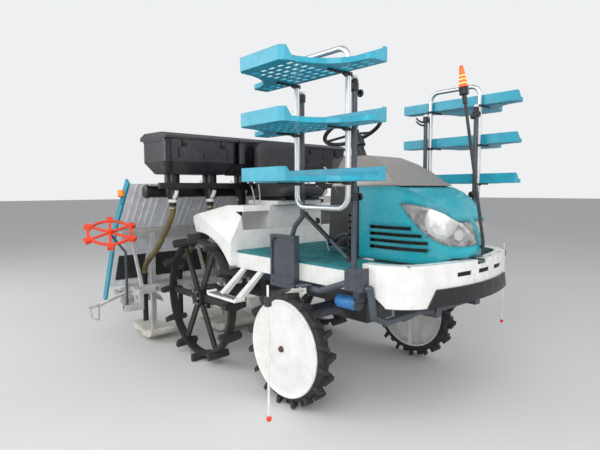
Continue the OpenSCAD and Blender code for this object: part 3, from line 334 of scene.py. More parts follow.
    def build(self) -> None:
        """Makes the shader and its output."""
        finish = self.finish
        rough = self.ramp(self.noise(35.0, 5.0), 0.3, 0.7, max(0.03, finish.roughness - 0.08),
                          min(1.0, finish.roughness + 0.12))
        shader = self.node("ShaderNodeBsdfPrincipled", {
            "Base Color": self.colour(), "Roughness": rough, "Normal": self.normal(),
            "Metallic": finish.metallic, "Coat Weight": finish.coat, "Coat Roughness": 0.12})
        if finish.glow > 0:
            self.feed(shader.inputs["Emission Color"], finish.colour)
            self.feed(shader.inputs["Emission Strength"], finish.glow)
        self.node("ShaderNodeOutputMaterial", {0: shader.outputs[0]})


WHITE = Finish("white_moulding", (0.78, 0.78, 0.76), 0.28, coat=0.35, shade=0.05, edge=0.004,
               grime=Grime(amount=0.20, low=0.6, high=1.3))
TRAY_TEAL = Finish("teal_tray", (0.012, 0.33, 0.46), 0.38, coat=0.2, shade=0.14, edge=0.004,
                   grime=Grime((0.12, 0.30, 0.33), 0.16, 20.0, 0.0, 4.0))
BONNET_TEAL = Finish("teal_bonnet", (0.016, 0.36, 0.44), 0.25, coat=0.5, shade=0.06, grain=0.03, edge=0.034,
                     grime=Grime(amount=0.12, low=0.7, high=1.4))
MAT_TEAL = Finish("teal_mat", (0.010, 0.20, 0.22), 0.62, shade=0.25, texture=Texture.CAST,
                  grime=Grime((0.035, 0.032, 0.028), 0.45, 7.0, 0.5, 1.4))
BAR_TEAL = Finish("teal_bar", (0.012, 0.30, 0.42), 0.4, coat=0.2, grime=Grime(amount=0.22))
TUB_BLACK = Finish("black_tub", (0.007, 0.008, 0.012), 0.31, coat=0.05, shade=0.3, edge=0.004,
                   grime=Grime((0.16, 0.14, 0.12), 0.05, 6.0, 0.6, 2.2))
TRIM_BLACK = Finish("black_trim", (0.008, 0.008, 0.010), 0.36, shade=0.25, edge=0.002,
                    grime=Grime(amount=0.08))
SEAT_BLACK = Finish("seat_cover", (0.030, 0.031, 0.034), 0.52, shade=0.2, texture=Texture.LEATHER, grime=None)
STEEL_BLUE = Finish("slate_paint", (0.050, 0.060, 0.078), 0.34, coat=0.15, shade=0.2, wear=(0.16, 0.13, 0.11),
                    wear_amount=0.2, edge=0.003, grime=Grime(amount=0.22))
CASTING = Finish("dull_casting", (0.10, 0.10, 0.10), 0.6, metallic=0.5, shade=0.3, texture=Texture.CAST,
                 grime=Grime(amount=0.45, high=1.6))
BRIGHT = Finish("bright_tube", (0.40, 0.41, 0.43), 0.34, metallic=0.85, shade=0.10, texture=Texture.BRUSHED,
                wear=(0.20, 0.18, 0.16), wear_amount=0.15, grime=None)
ZINC = Finish("plated_steel", (0.46, 0.46, 0.45), 0.45, metallic=0.55, shade=0.2, wear=(0.17, 0.08, 0.04),
              wear_amount=0.35, grime=Grime(amount=0.35))
PLANTER_PAINT = Finish("pale_grey_paint", (0.50, 0.51, 0.50), 0.42, shade=0.14, wear=(0.15, 0.09, 0.06),
                       wear_amount=0.3, edge=0.003, grime=Grime(amount=0.42, scale=14.0, low=0.0, high=1.4))
SHEET_GREY = Finish("pale_grey_sheet", (0.76, 0.78, 0.83), 0.40, shade=0.10,
                    grime=Grime(amount=0.20, low=0.3, high=1.6))
FLOAT_CREAM = Finish("cream_float", (0.66, 0.64, 0.57), 0.48, shade=0.12, edge=0.006,
                     grime=Grime((0.14, 0.11, 0.08), 0.55, 11.0, 0.0, 0.6))
ROD_WHITE = Finish("white_rod", (0.74, 0.72, 0.66), 0.35, shade=0.08, grime=Grime(amount=0.15),
                   bands=(Band(0.2495, False, (0.72, 0.035, 0.015)), Band(0.7219, True, (0.03, 0.03, 0.032)),
                          Band(0.7628, True, (0.74, 0.72, 0.66))))
WHEEL_WHITE = Finish("white_disc", (0.80, 0.80, 0.78), 0.30, coat=0.2, shade=0.05, edge=0.003,
                     grime=Grime(amount=0.24, low=0.05, high=0.8))
WHEEL_BLACK = Finish("black_wheel", (0.014, 0.013, 0.013), 0.55, shade=0.3, texture=Texture.CAST,
                     grime=Grime((0.075, 0.060, 0.045), 0.42, 16.0, 0.0, 1.6))
TYRE = Finish("tyre_rubber", (0.020, 0.020, 0.021), 0.72, shade=0.3, edge=0.003,
              grime=Grime((0.20, 0.165, 0.125), 0.50, 16.0, 0.0, 1.2))
COWL = Finish("bronze_grey_cowl", (0.34, 0.31, 0.29), 0.36, metallic=0.35, coat=0.1, shade=0.06, grain=0.02,
              edge=0.024, grime=Grime((0.30, 0.28, 0.25), 0.10, 5.0, 0.6, 2.4))
HOSE = Finish("khaki_hose", (0.135, 0.108, 0.030), 0.42, shade=0.25, texture=Texture.RINGS,
              grime=Grime(amount=0.3, high=1.6))
RED = Finish("red_marker", (0.86, 0.062, 0.014), 0.38, coat=0.1, shade=0.12, grime=Grime(amount=0.10))
BLUE = Finish("blue_filter", (0.035, 0.20, 0.50), 0.35, coat=0.2, grime=Grime(amount=0.18))
ORANGE = Finish("orange_lens", (0.90, 0.24, 0.01), 0.2, coat=0.3, glow=0.25, grime=None, edge=0.002)
POLE = Finish("black_pole", (0.02, 0.02, 0.022), 0.4, grime=None)
BEACON = Finish("red_beacon", (1.0, 0.10, 0.02), 0.25, glow=0.9, grime=None, edge=0.001)
BEACON_CORE = Finish("beacon_core", (1.0, 0.50, 0.14), 0.3, glow=2.4, grime=None)
# Headlamp lens: its lighter circles are painted highlights and reflections of the chrome reflectors and bulbs behind
# it.
LENS = Finish("lamp_lens", (0.42, 0.42, 0.41), 0.10, metallic=0.45, coat=1.0, shade=0.55, shade_scale=30.0, edge=0.03,
              grime=Grime((0.20, 0.19, 0.17), 0.08, 10.0, 0.6, 2.0),
              highlight_spots=(HighlightSpot((1.372, 0.205, 1.040), 0.086, (0.62, 0.62, 0.61)),
                     HighlightSpot((1.378, 0.205, 1.034), 0.064, (0.76, 0.76, 0.75)),
                     HighlightSpot((1.384, 0.205, 1.028), 0.022, (0.95, 0.94, 0.90)),
                     HighlightSpot((1.452, 0.150, 0.975), 0.044, (0.68, 0.68, 0.67)),
                     HighlightSpot((1.456, 0.150, 0.972), 0.016, (0.93, 0.80, 0.62))))
BARE_WHITE = Finish("white_fitting", (0.76, 0.76, 0.74), 0.4, grime=Grime(amount=0.15))
BOLT = Finish("plated_bolt", (0.42, 0.40, 0.36), 0.38, metallic=0.8, wear=(0.16, 0.08, 0.04), wear_amount=0.4,
              grime=Grime(amount=0.25))
BAR_BOLT = Finish("painted_bolt", (0.085, 0.095, 0.12), 0.42, metallic=0.3, wear=(0.30, 0.27, 0.22), wear_amount=0.4,
                  grime=Grime(amount=0.2))
RUST = Finish("rusty_cap", (0.12, 0.055, 0.035), 0.6, metallic=0.2, shade=0.4, grime=Grime(amount=0.3))
BELT = Finish("ribbed_belt", (0.022, 0.022, 0.023), 0.65, shade=0.2, grime=Grime(amount=0.28))
# Near black for the grille wires, and the painted shade behind the bumper's slots.
INK = Finish("dark_slot", (0.008, 0.008, 0.009), 0.8, grime=None)

NODE_FINISHES: dict[Finish, tuple[str, ...]] = {
    WHITE: ("floor_panel", "rear_body", "front_bumper", "side_steps"),
    TRAY_TEAL: ("rack_trays_right", "rack_trays_left"),
    BONNET_TEAL: ("bonnet",),
    MAT_TEAL: ("floor_mat",),
    BAR_TEAL: ("platform_side_bars",),
    TUB_BLACK: ("hoppers", "hopper_lid_right", "hopper_lid_centre", "hopper_lid_left"),
    TRIM_BLACK: ("bumper_strip", "dash_panel", "steering_column", "metering_units", "steering_wheel",
                 "planting_boots"),
    SEAT_BLACK: ("seat",),
    STEEL_BLUE: ("main_frame", "front_axle", "side_bars", "rack_posts", "knuckle_right", "knuckle_left",
                 "lower_links", "upper_link", "marker_arm_right", "marker_arm_left"),
    CASTING: ("engine_block", "transmission", "rear_axle"),
    BRIGHT: ("rack_loops",),
    ZINC: ("planting_arms_front", "planting_arms_rear", "side_guards", "planting_rotors"),
    PLANTER_PAINT: ("planting_frame", "planting_cases"),
    SHEET_GREY: ("seedling_platform",),
    BELT: ("platform_belts",),
    FLOAT_CREAM: ("floats",),
    ROD_WHITE: ("side_marker_right", "side_marker_left"),
    WHEEL_WHITE: ("front_wheel_right", "front_wheel_left"),
    WHEEL_BLACK: ("rear_wheel_right", "rear_wheel_left"),
    TYRE: ("front_tyre_right", "front_tyre_left", "rear_tyre_right", "rear_tyre_left"),
    COWL: ("bonnet_top",),
    RED: ("marker_wheel_right", "marker_wheel_left"),
    LENS: ("headlamps",),
    POLE: ("centre_pole",),
    HOSE: ("seedling_hoses",),
}


def middle(node: str) -> Vector:
    """Middle of a CAD node's box."""
    low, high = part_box(node)
    return (low + high) / 2


AXLE_X = middle("front_tyre_right").x
FORWARD, LEFT, UP = Vector((1, 0, 0)), Vector((0, 1, 0)), Vector((0, 0, 1))


def at(x: float, y: float, z: float) -> Vector:
    """A machine point in millimetres, X from the front axle, as a row point in metres."""
    return Vector((AXLE_X + x / 1000, y / 1000, z / 1000))


def leaning(degrees: float) -> Vector:
    """Upright direction that leans forward by an angle."""
    angle = math.radians(degrees)
    return Vector((math.sin(angle), 0, math.cos(angle)))


def circle(centre: Vector, first: Vector, second: Vector, radius: float, sides: int) -> list[Vector]:
    """Points of a circle.

    Args:
        centre: Row point of its middle.
        first: Direction of its first point.
        second: Direction a quarter turn on.
        radius: Radius in millimetres.
        sides: Number of points.

    Returns:
        The row points.
    """
    turns = [2 * math.pi * k / sides for k in range(sides)]
    return [centre + (first * math.cos(a) + second * math.sin(a)) * (radius / 1000) for a in turns]


class Maker:
    """Gathers mesh parts of one piece."""

    def __init__(self, name: str, finish: Finish, body: str = "chassis") -> None:
        """Starts an empty piece.

        Args:
            name: Name of the piece.
            finish: Its finish.
            body: CAD body that it rides on.
        """
        self.name, self.finish, self.body = name, finish, body
        self.mesh = bmesh.new()

    def box(self, low: Point, high: Point, round_by: float = 2.0, turn: Matrix | None = None) -> "Maker":
        """Adds a box with rounded edges, in machine millimetres.

        Args:
            low: Lowest corner.
            high: Highest corner.
            round_by: Radius of the edges.
            turn: Rotation about the box's middle.

        Returns:
            This maker.
        """
        first, second = at(*low), at(*high)
        size, mid = second - first, (first + second) / 2
        part = bmesh.new()
        bmesh.ops.create_cube(part, size=1.0, matrix=Matrix.Diagonal((*size, 1.0)))
        if round_by > 0:
            bmesh.ops.bevel(part, geom=part.edges[:], offset=round_by / 1000, segments=2, affect="EDGES", profile=0.5)
        part.transform(Matrix.Translation(mid) @ (turn.to_4x4() if turn else Matrix.Identity(4)))
        return self.absorb(part)

    def absorb(self, part: bmesh.types.BMesh) -> "Maker":
        """Joins another mesh to this one and frees it.

        Args:
            part: Mesh to take in.

        Returns:
            This maker.
        """
        held = bpy.data.meshes.new("part")
        part.to_mesh(held)
        part.free()
        self.mesh.from_mesh(held)
        bpy.data.meshes.remove(held)
        return self

    def skin(self, rings: Sequence[Sequence[Vector]]) -> "Maker":
        """Adds a closed form through rings of points.

        Args:
            rings: Rings of equal length, from one end to the other.

        Returns:
            This maker.
        """
        made = [[self.mesh.verts.new(point) for point in ring] for ring in rings]
        for low, high in zip(made, made[1:]):
            for k in range(len(low)):
                n = (k + 1) % len(low)
                self.mesh.faces.new((low[k], low[n], high[n], high[k]))
        self.mesh.faces.new(made[0][::-1])
        self.mesh.faces.new(made[-1])
        return self

    def tube(self, points: Sequence[Vector], radius: float | Callable[[float], float], sides: int = 14,
             steps: int = 6, smooth: bool = True) -> "Maker":
        """Adds a tube along points.

        Args:
            points: Row points.
            radius: Radius in millimetres, or a function of the share of the length.
            sides: Sides of the tube.
            steps: Steps between points when smooth.
            smooth: Whether the path is rounded.

        Returns:
            This maker.
        """
        path = smooth_path(points, steps) if smooth and len(points) > 2 else [Vector(p) for p in points]
        share = [0.0]
        for first, second in zip(path, path[1:]):
            share.append(share[-1] + (second - first).length)
        rings = []
        side = None
        for i, point in enumerate(path):
            ahead = (path[min(i + 1, len(path) - 1)] - path[max(i - 1, 0)]).normalized()
            if side is None:
                side = ahead.orthogonal().normalized()
            side = (side - ahead * side.dot(ahead)).normalized()
            wide = radius(share[i] / share[-1]) if callable(radius) else radius
            rings.append(circle(point, side, ahead.cross(side), wide, sides))
        return self.skin(rings)

    def lathe(self, base: Vector, axis: Vector, profile: Sequence[tuple[float, float]], sides: int = 24) -> "Maker":
        """Adds a turned form.

        Args:
            base: Row point on the axis.
            axis: Direction of the axis.
            profile: Pairs of height and radius in millimetres.
            sides: Sides of the form.

        Returns:
            This maker.
        """
        along = axis.normalized()
        first = along.orthogonal().normalized()
        second = along.cross(first)
        return self.skin([circle(base + along * height / 1000, first, second, radius, sides)
                          for height, radius in profile])

    def bolts(self, places: Iterable[Point], axis: Point, size: float = 7.0) -> "Maker":
        """Adds hexagon heads on washers.

        Args:
            places: Machine points of the seats.
            axis: Direction in which the heads point.
            size: Radius of a head in millimetres.

        Returns:
            This maker.
        """
        for place in places:
            seat = at(*place)
            self.lathe(seat, Vector(axis), ((-1, size * 1.45), (1.4, size * 1.45), (1.6, size * 1.2)), 16)
            self.lathe(seat, Vector(axis), ((1.2, size), (size * 0.8, size), (size * 0.95, size * 0.8)), 6)
        return self

    def done(self, smooth_angle: float = 38.0, subdivide: int = 0) -> bpy.types.Object:
        """Makes the object, gives it its finish and sets it on its body.

        Args:
            smooth_angle: Edges sharper than this, in degrees, stay sharp.
            subdivide: Subdivision levels.

        Returns:
            The object.
        """
        bmesh.ops.recalc_face_normals(self.mesh, faces=self.mesh.faces[:])
        data = bpy.data.meshes.new(self.name)
        self.mesh.to_mesh(data)
        self.mesh.free()
        made = bpy.data.objects.new(self.name, data)
        bpy.context.scene.collection.objects.link(made)
        if subdivide > 0:
            rounding = made.modifiers.new("round", "SUBSURF")
            rounding.levels = rounding.render_levels = subdivide
            graph = bpy.context.evaluated_depsgraph_get()
            data = bpy.data.meshes.new_from_object(made.evaluated_get(graph))
            made.modifiers.clear()
            made.data = data
        data.polygons.foreach_set("use_smooth", [True] * len(data.polygons))
        data.set_sharp_from_angle(angle=math.radians(smooth_angle))
        data.materials.clear()
        data.materials.append(self.finish.material())
        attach(made, self.body)
        LOG.info("%s: %d faces on %s", self.name, len(data.polygons), self.body)
        return made


def smooth_path(points: Sequence[Vector], steps: int) -> list[Vector]:
    """Rounds a path with a Catmull-Rom curve.

    Args:
        points: Points to pass through.
        steps: Steps between two points.

    Returns:
        The finer path.
    """
    path = [Vector(p) for p in points]
    ends = [path[0] * 2 - path[1], *path, path[-1] * 2 - path[-2]]
    result = []
    for a, b, c, d in zip(ends, ends[1:], ends[2:], ends[3:]):
        for k in range(steps):
            t = k / steps
            result.append(0.5 * (2 * b + (c - a) * t + (2 * a - 5 * b + 4 * c - d) * t * t
                                 + (3 * b - a - 3 * c + d) * t ** 3))
    result.append(path[-1])
    return result


class Assembly:
    """A sub-assembly that builds its pieces on the CAD frame."""

    def build(self) -> None:
        """Builds every piece."""
        raise NotImplementedError


@dataclass
class Carried(Assembly):
    """CAD nodes that stay and get their finishes."""

    finishes: dict[Finish, tuple[str, ...]] = field(default_factory=lambda: NODE_FINISHES)

    def build(self) -> None:
        """Gives each carried node its finish."""
        for finish, names in self.finishes.items():
            for name in names:
                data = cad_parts[name].data
                data.materials.clear()
                data.materials.append(finish.material())
                LOG.info("%s: %s", name, finish.name)


@dataclass
class SeedlingRacks(Assembly):
    """Clamps, knobs, clips, bolts, sleeves and levers of the racks beside the bonnet."""

    rear_x: float = 98.0
    front_x: float = 465.0
    post_y: float = 581.0
    bracket_y: float = 603.0
    grip_y: float = 608.0
    loop_y: float = 625.0
    tray_x: float = 108.0
    rear_top: float = 1692.0
    front_top: float = 1712.0
    post_fit: float = 14.2
    loop_fit: float = 14.3
    clamp_heights: tuple[float, ...] = (1170.0, 1682.0)
    knob_heights: tuple[float, ...] = (1170.0, 1660.0)
    tray_heights: tuple[float, ...] = (1742.0, 1492.0, 1242.0)
    brace_ends: tuple[tuple[float, float], ...] = ((108.0, 1083.0), (452.0, 852.0))

    def build(self) -> None:
        """Builds the rack pieces."""
        self.clamps()
        self.knobs()
        self.tray_clips()
        self.bolts()
        self.struts()
        self.levers()

    def clamps(self) -> None:
        """Black clamps that hold the loops to the posts."""
        clamps = Maker("rack_clamps", TRIM_BLACK)
        for x in (self.rear_x, self.front_x):
            for z in self.clamp_heights:
                for s in SIDES:
                    clamps.lathe(at(x, s * self.post_y, z - 20), UP,
                                 ((0, self.post_fit), (1, 19), (39, 19), (40, self.post_fit)), 20)
                    clamps.box((x - 13, s * self.grip_y - 12, z - 15), (x + 13, s * self.grip_y + 12, z + 15), 3)
        clamps.done()

    def knobs(self) -> None:
        """Caps and turning knobs at the heads of the posts."""
        knobs = Maker("rack_knobs", TRIM_BLACK)
        caps = Maker("rack_caps", BARE_WHITE)
        for s in SIDES:
            for x, top in ((self.rear_x, self.rear_top), (self.front_x, self.front_top)):
                knobs.lathe(at(x, s * self.post_y, top - 30), UP,
                            ((0, self.post_fit), (2, 17), (34, 17), (38, 12), (39, 6)), 20)
                caps.lathe(at(x, s * self.post_y, top + 9), UP,
                           ((-1, 8), (2, 14), (8, 16), (14, 13), (18, 5)), 18)
            for z in self.knob_heights:
                knobs.lathe(at(self.front_x, s * (self.post_y - 16), z), Vector((0, -s, 0)),
                            ((0, 6), (14, 6), (15, 17), (27, 19), (30, 14)), 12)
        knobs.done()
        caps.done()

    def tray_clips(self) -> None:
        """Clips under each tray that grip the loop tubes."""
        clips = Maker("tray_clips", TRIM_BLACK)
        for z in self.tray_heights:
            for x in (self.tray_x, self.front_x):
                for s in SIDES:
                    clips.lathe(at(x, s * self.loop_y, z - 16), UP,
                                ((0, self.loop_fit), (0.5, 20), (15, 20), (15.5, self.loop_fit)), 20)
                    clips.box((x - 9, s * 645 - 14, z - 14), (x + 9, s * 645 + 14, z - 2), 2)
                    clips.box((x - 5, s * 700 - 62, z - 10), (x + 5, s * 700 + 62, z - 1.5), 2)
        clips.done()

    def bolts(self) -> None:
        """Bolt heads on the brackets of the posts."""
        bolts = Maker("rack_bolts", BAR_BOLT)
        for s in SIDES:
            bolts.bolts([(x, s * self.bracket_y, z) for x, z in ((-130, 686), (-130, 928), (30, 928), (30, 690),
                                                                 (440, 734), (440, 806), (523, 812), (523, 756))],
                        (0, s, 0), 6.5)
        bolts.done()

    def struts(self) -> None:
        """Gas spring sleeves on the slanting braces."""
        sleeves = Maker("rack_struts", TRIM_BLACK)
        for s in SIDES:
            first, last = (at(x, s * self.post_y, z) for x, z in self.brace_ends)
            along = last - first
            sleeves.tube((first + along * 0.06, first + along * 0.55), 12.5, 18, smooth=False)
            sleeves.tube((first + along * 0.55, first + along * 0.57), 15, 18, smooth=False)
            for share in (0.03, 0.95):
                spot = first + along * share
                sleeves.lathe(spot + Vector((0, s * 0.012, 0)), Vector((0, -s, 0)), ((0, 13), (24, 13)), 16)
        sleeves.done()

    def levers(self) -> None:
        """Twin levers at the head of each rear post."""
        levers = Maker("rack_levers", TRIM_BLACK)
        for s in SIDES:
            for rise in (0.0, 22.0):
                levers.tube((at(self.rear_x, s * 573, 1640 + rise), at(self.rear_x - 34, s * 562, 1652 + rise),
                             at(self.rear_x - 62, s * 556, 1676 + rise)), lambda t: 7 - 2 * t, 10)
        levers.done()


@dataclass
class Bumper(Assembly):
    """Fasteners, painted shade behind the slots, beacon and filter of the front end."""

    arc_x: float = -477.0
    arc_r: float = 1297.0
    arc_hw: float = 400.0
    side_reach: float = 733.0
    grille_y: float = 228.0
    pole_top: Point = (700.0, 0.0, 1690.0)
    pole_lean: float = -8.0
    filter_y: float = -500.0
    filter_z: float = 628.0

    def build(self) -> None:
        """Builds the pieces of the front end."""
        self.screws()
        self.slot_shade()
        self.grille()
        self.pole()
        self.filter()

    def screws(self) -> None:
        """Screws along the upper edge of the bumper."""
        screws = Maker("bumper_screws", BOLT)
        for y in (150, 330, 480):
            for s in SIDES:
                reach = math.sqrt(self.arc_r ** 2 - y ** 2) + self.arc_x if y < self.arc_hw else self.side_reach
                screws.lathe(at(reach - 24, s * y, 849.6), UP, ((-1, 9), (1.5, 9), (3, 6)), 14)
        screws.done()

    def slot_shade(self) -> None:
        """Painted shade: a dark strip behind the bumper's air slots, where the slots show only shade."""
        strip = Maker("bumper_slot_shade", INK)
        radius = self.arc_r - 9
        angles = [math.radians(0.95 * k) for k in range(-12, 13)]
        front = [(self.arc_x + radius * math.cos(a), radius * math.sin(a)) for a in angles]
        outline = front + [(x - 4, y) for x, y in reversed(front)]
        strip.skin([[at(x, y, z) for x, y in outline] for z in (772, 812)])
        strip.done()

    def grille(self) -> None:
        """Dark net of wires behind the bonnet's slots."""
        net = Maker("grille_net", INK, "bonnet_body")
        for s in SIDES:
            for k in range(9):
                x = 300 + 38 * k
                net.tube((at(x, s * self.grille_y, 884), at(x + 4, s * (self.grille_y - 2), 1006)), 1.2, 6,
                         smooth=False)
            for k in range(4):
                z = 896 + 32 * k
                net.tube((at(296, s * self.grille_y, z), at(640, s * (self.grille_y - 6), z)), 1.2, 6, smooth=False)
        net.done()

    def pole(self) -> None:
        """Beacon with its base and glowing rings on the centre pole."""
        lean = leaning(self.pole_lean)
        foot = at(*self.pole_top)
        glass = Maker("beacon_glass", BEACON, "bonnet_body")
        glass.lathe(foot + lean * 0.036, lean,
                    ((0, 23.6), (3, 24), (40, 19.2), (80, 14.2), (108, 10.4), (112.6, 5)), 28)
        glass.done(50.0)
        base = Maker("beacon_base", TRIM_BLACK, "bonnet_body")
        base.lathe(foot, lean, ((-2, 20), (0, 23.6), (30, 23.6), (36, 24.6), (38, 24.6)), 28)
        base.lathe(foot - lean * 0.05, lean, ((0, 8.5), (2, 12), (46, 12), (50, 18)), 20)
        base.done()
        core = Maker("beacon_rings", BEACON_CORE, "bonnet_body")
        for rise, width in ((54, 21.6), (74, 19.0), (94, 16.4)):
            core.lathe(foot + lean * rise / 1000, lean, ((0, width), (1.4, width + 1.2), (4, width + 0.4)), 28)
        core.done()

    def filter(self) -> None:
        """Blue canister with its bracket under the side bar."""
        can = Maker("filter_canister", BLUE)
        can.lathe(at(282, self.filter_y, self.filter_z), FORWARD,
                  ((0, 20), (6, 31), (14, 35), (120, 35), (128, 32), (136, 24), (140, 10)), 28)
        for k in range(5):
            can.lathe(at(300 + 22 * k, self.filter_y, self.filter_z), FORWARD,
                      ((0, 35), (2, 36.4), (5, 36.4), (7, 35)), 28)
        can.done()
        arm = Maker("filter_bracket", STEEL_BLUE)
        arm.lathe(at(418, self.filter_y, self.filter_z), FORWARD, ((0, 26), (2, 33), (12, 33), (14, 26)), 24)
        arm.box((424, -520, 640), (440, -470, 690), 3)
        arm.done()


@dataclass
class Deck(Assembly):
    """Pedals, levers and small parts on the floor and at the steering column."""

    pedal_rows: tuple[float, ...] = (-190.0, 178.0, 232.0)
    pedal_tilt: float = -38.0
    dash_tilt: float = -14.0
    dash_normal: Point = (-0.24, 0.0, 0.97)
    wheel_lean: float = -25.0
    tread_y: tuple[float, float] = (704.0, 760.0)
    rail_y: float = 225.0

    def build(self) -> None:
        """Builds the pieces of the deck."""
        self.pedals()
        self.levers()
        self.panel()
        self.wheel_hub()
        self.step_pads()
        self.frame_bolts()

    def pedals(self) -> None:
        """Black pedals with ribbed pads in front of the foot area."""
        arms = Maker("pedal_arms", STEEL_BLUE)
        pads = Maker("pedal_pads", BELT)
        for y in self.pedal_rows:
            arms.tube((at(112, y, 905), at(60, y, 940), at(-10, y, 915), at(-48, y, 880)), 8, 12)
            arms.lathe(at(112, y - 16, 905), LEFT, ((0, 15), (32, 15)), 18)
            turn = Matrix.Rotation(math.radians(self.pedal_tilt), 3, "Y")
            pads.box((-88, y - 24, 874), (-20, y + 24, 884), 3, turn)
            for k in range(5):
                rise = (k - 2) * 9
                pads.box((-80 + 13 * k, y - 22, 882 + rise), (-75 + 13 * k, y + 22, 888 + rise), 1, turn)
        arms.done()
        pads.done()

    def levers(self) -> None:
        """Gear and working levers with knobs beside the column and the seat, one with a red mark."""
        rods = Maker("lever_rods", BRIGHT)
        knobs = Maker("lever_knobs", TRIM_BLACK)
        marks = Maker("lever_marks", RED)
        for base, top, size in (((-20, 175, 1180), (-60, 265, 1330), 15),
                                ((-20, -175, 1180), (-50, -270, 1345), 15),
                                ((-700, -262, 1090), (-660, -300, 1250), 17),
                                ((-760, -262, 1090), (-735, -305, 1235), 17),
                                ((-720, 262, 1090), (-690, 300, 1240), 17),
                                ((-60, -215, 828), (-120, -245, 1000), 14)):
            first, last = at(*base), at(*top)
            mid = (first + last) / 2 + Vector((0.012, 0, 0))
            rods.tube((first, mid, last), 5, 12)
            along = (last - first).normalized()
            knobs.lathe(last - along * 0.004, along,
                        ((0, 6), (4, size * 0.8), (size * 1.4, size), (size * 2.4, size * 0.8),
                         (size * 2.7, size * 0.3)), 18)
        marks.lathe(at(-60, 265, 1356), Vector((-0.2, 0.5, 0.8)), ((0, 7), (3, 9), (6, 6)), 14)
        for made in (rods, knobs, marks):
            made.done()

    def panel(self) -> None:
        """Instrument face, dials and key on the pedestal's slope."""
        face = Maker("dash_instruments", TRIM_BLACK)
        dial = Maker("dash_dials", BARE_WHITE)
        turn = Matrix.Rotation(math.radians(self.dash_tilt), 3, "Y")
        normal = Vector(self.dash_normal)
        face.box((-112, -104, 1390), (-22, 104, 1406), 6, turn)
        for y in (-62.0, 0.0, 62.0):
            face.lathe(at(-66, y, 1404), normal, ((0, 25), (3, 27), (6, 25), (7, 21)), 24)
            dial.lathe(at(-66, y, 1409.5), normal, ((0, 18), (1.2, 18), (1.6, 16)), 24)
        face.lathe(at(-100, 88, 1396), normal, ((0, 11), (10, 11), (12, 8)), 16)
        face.done()
        dial.done()

    def wheel_hub(self) -> None:
        """Hub cap of the steering wheel."""
        centre = middle("steering_wheel")
        tilt = leaning(self.wheel_lean)
        cap = Maker("steering_cap", TRIM_BLACK, "steer_wheel")
        cap.lathe(centre - tilt * 0.012, tilt, ((0, 34), (14, 44), (22, 42), (28, 34), (31, 18)), 28)
        cap.done()

    def step_pads(self) -> None:
        """Ribbed pads on the side steps' treads."""
        pads = Maker("step_pads", BELT)
        for s in SIDES:
            near, far = sorted(s * y for y in self.tread_y)
            for k in range(9):
                x = -568 + 34 * k
                pads.box((x, near, 565.4), (x + 16, far, 568.6), 1)
        pads.done()

    def frame_bolts(self) -> None:
        """Bolts on the side bars, rails and links."""
        bolts = Maker("frame_bolts", BOLT)
        for s in SIDES:
            bolts.bolts([(x, s * self.rail_y, z) for x in (-460, -80, 180, 440, 610) for z in (590, 618)], (0, s, 0), 8)
            bolts.bolts([(x, s * self.rail_y, 610) for x in (-700, -860)], (0, s, 0), 8)
            bolts.bolts([(-1000, s * 172, 634.9)], (0, s, 0), 12)
        bolts.done()


@dataclass
class Seat(Assembly):
    """Padded seat over the CAD seat's room."""

    width: float = 420.0
    depth: float = 400.0
    back_height: float = 400.0
    back_lean: float = -3.0

    def build(self) -> None:
        """Builds the seat's pan, cushions and piping."""
        base = Maker("seat_pan", TRIM_BLACK, "seat_body")
        base.box((-868, -168, 1129.5), (-532, 168, 1152), 8)
        base.done()
        self.cushion("seat_cushion", self.seat_sections())
        self.cushion("seat_backrest", self.back_sections())
        piping = Maker("seat_piping", TRIM_BLACK, "seat_body")
        rows = self.back_sections()[2]
        piping.tube([*rows, rows[0]], 3.2, 8)
        piping.done()

    def seat_sections(self) -> list[list[Vector]]:
        """Sections of the seat cushion from below to its crown.

        Returns:
            Rings of points.
        """
        rings = []
        for z, inset in ((1153.0, 26), (1160.0, 6), (1192.0, 0), (1220.0, 6), (1230.0, 30), (1226.0, 80)):
            plan = rounded_plan(self.depth - 2 * inset, self.width - 2 * inset, 70, 6)
            rings.append([at(-690 + x, y, z + 4 * math.cos(y / 90)) for x, y in plan])
        return rings

    def back_sections(self) -> list[list[Vector]]:
        """Sections of the backrest from its rear face to its front face.

        Returns:
            Rings of points.
        """
        rings = []
        up = leaning(self.back_lean)
        ahead = Vector((up.z, 0, -up.x))
        for depth, inset in ((-38.0, 30), (-30.0, 6), (0.0, 0), (28.0, 5), (39.0, 26), (34.0, 84)):
            plan = rounded_plan(self.width - 2 * inset, self.back_height - 2 * inset, 90, 6)
            rings.append([at(-800, y, 1160) + (ahead * depth + up * (z + self.back_height / 2)) / 1000
                          for y, z in plan])
        return rings

    def cushion(self, name: str, rings: list[list[Vector]]) -> None:
        """Skins a padded piece over its rings.

        Args:
            name: Name of the piece.
            rings: Rings of equal length.
        """
        maker = Maker(name, SEAT_BLACK, "seat_body")
        maker.skin(rings)
        cushion = maker.done(60.0, subdivide=2)
        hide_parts("seat")


def rounded_plan(width: float, height: float, radius: float, steps: int) -> list[tuple[float, float]]:
    """Outline of a rounded rectangle.

    Args:
        width: Size across.
        height: Size up.
        radius: Corner radius.
        steps: Points of each corner.

    Returns:
        The outline about its middle.
    """
    radius = min(radius, width / 2 - 1, height / 2 - 1)
    result = []
    for sx, sy, start in ((1, 1, 0), (-1, 1, 90), (-1, -1, 180), (1, -1, 270)):
        for k in range(steps + 1):
            a = math.radians(start + 90 * k / steps)
            result.append((sx * (width / 2 - radius) + radius * math.cos(a),
                           sy * (height / 2 - radius) + radius * math.sin(a)))
    return result


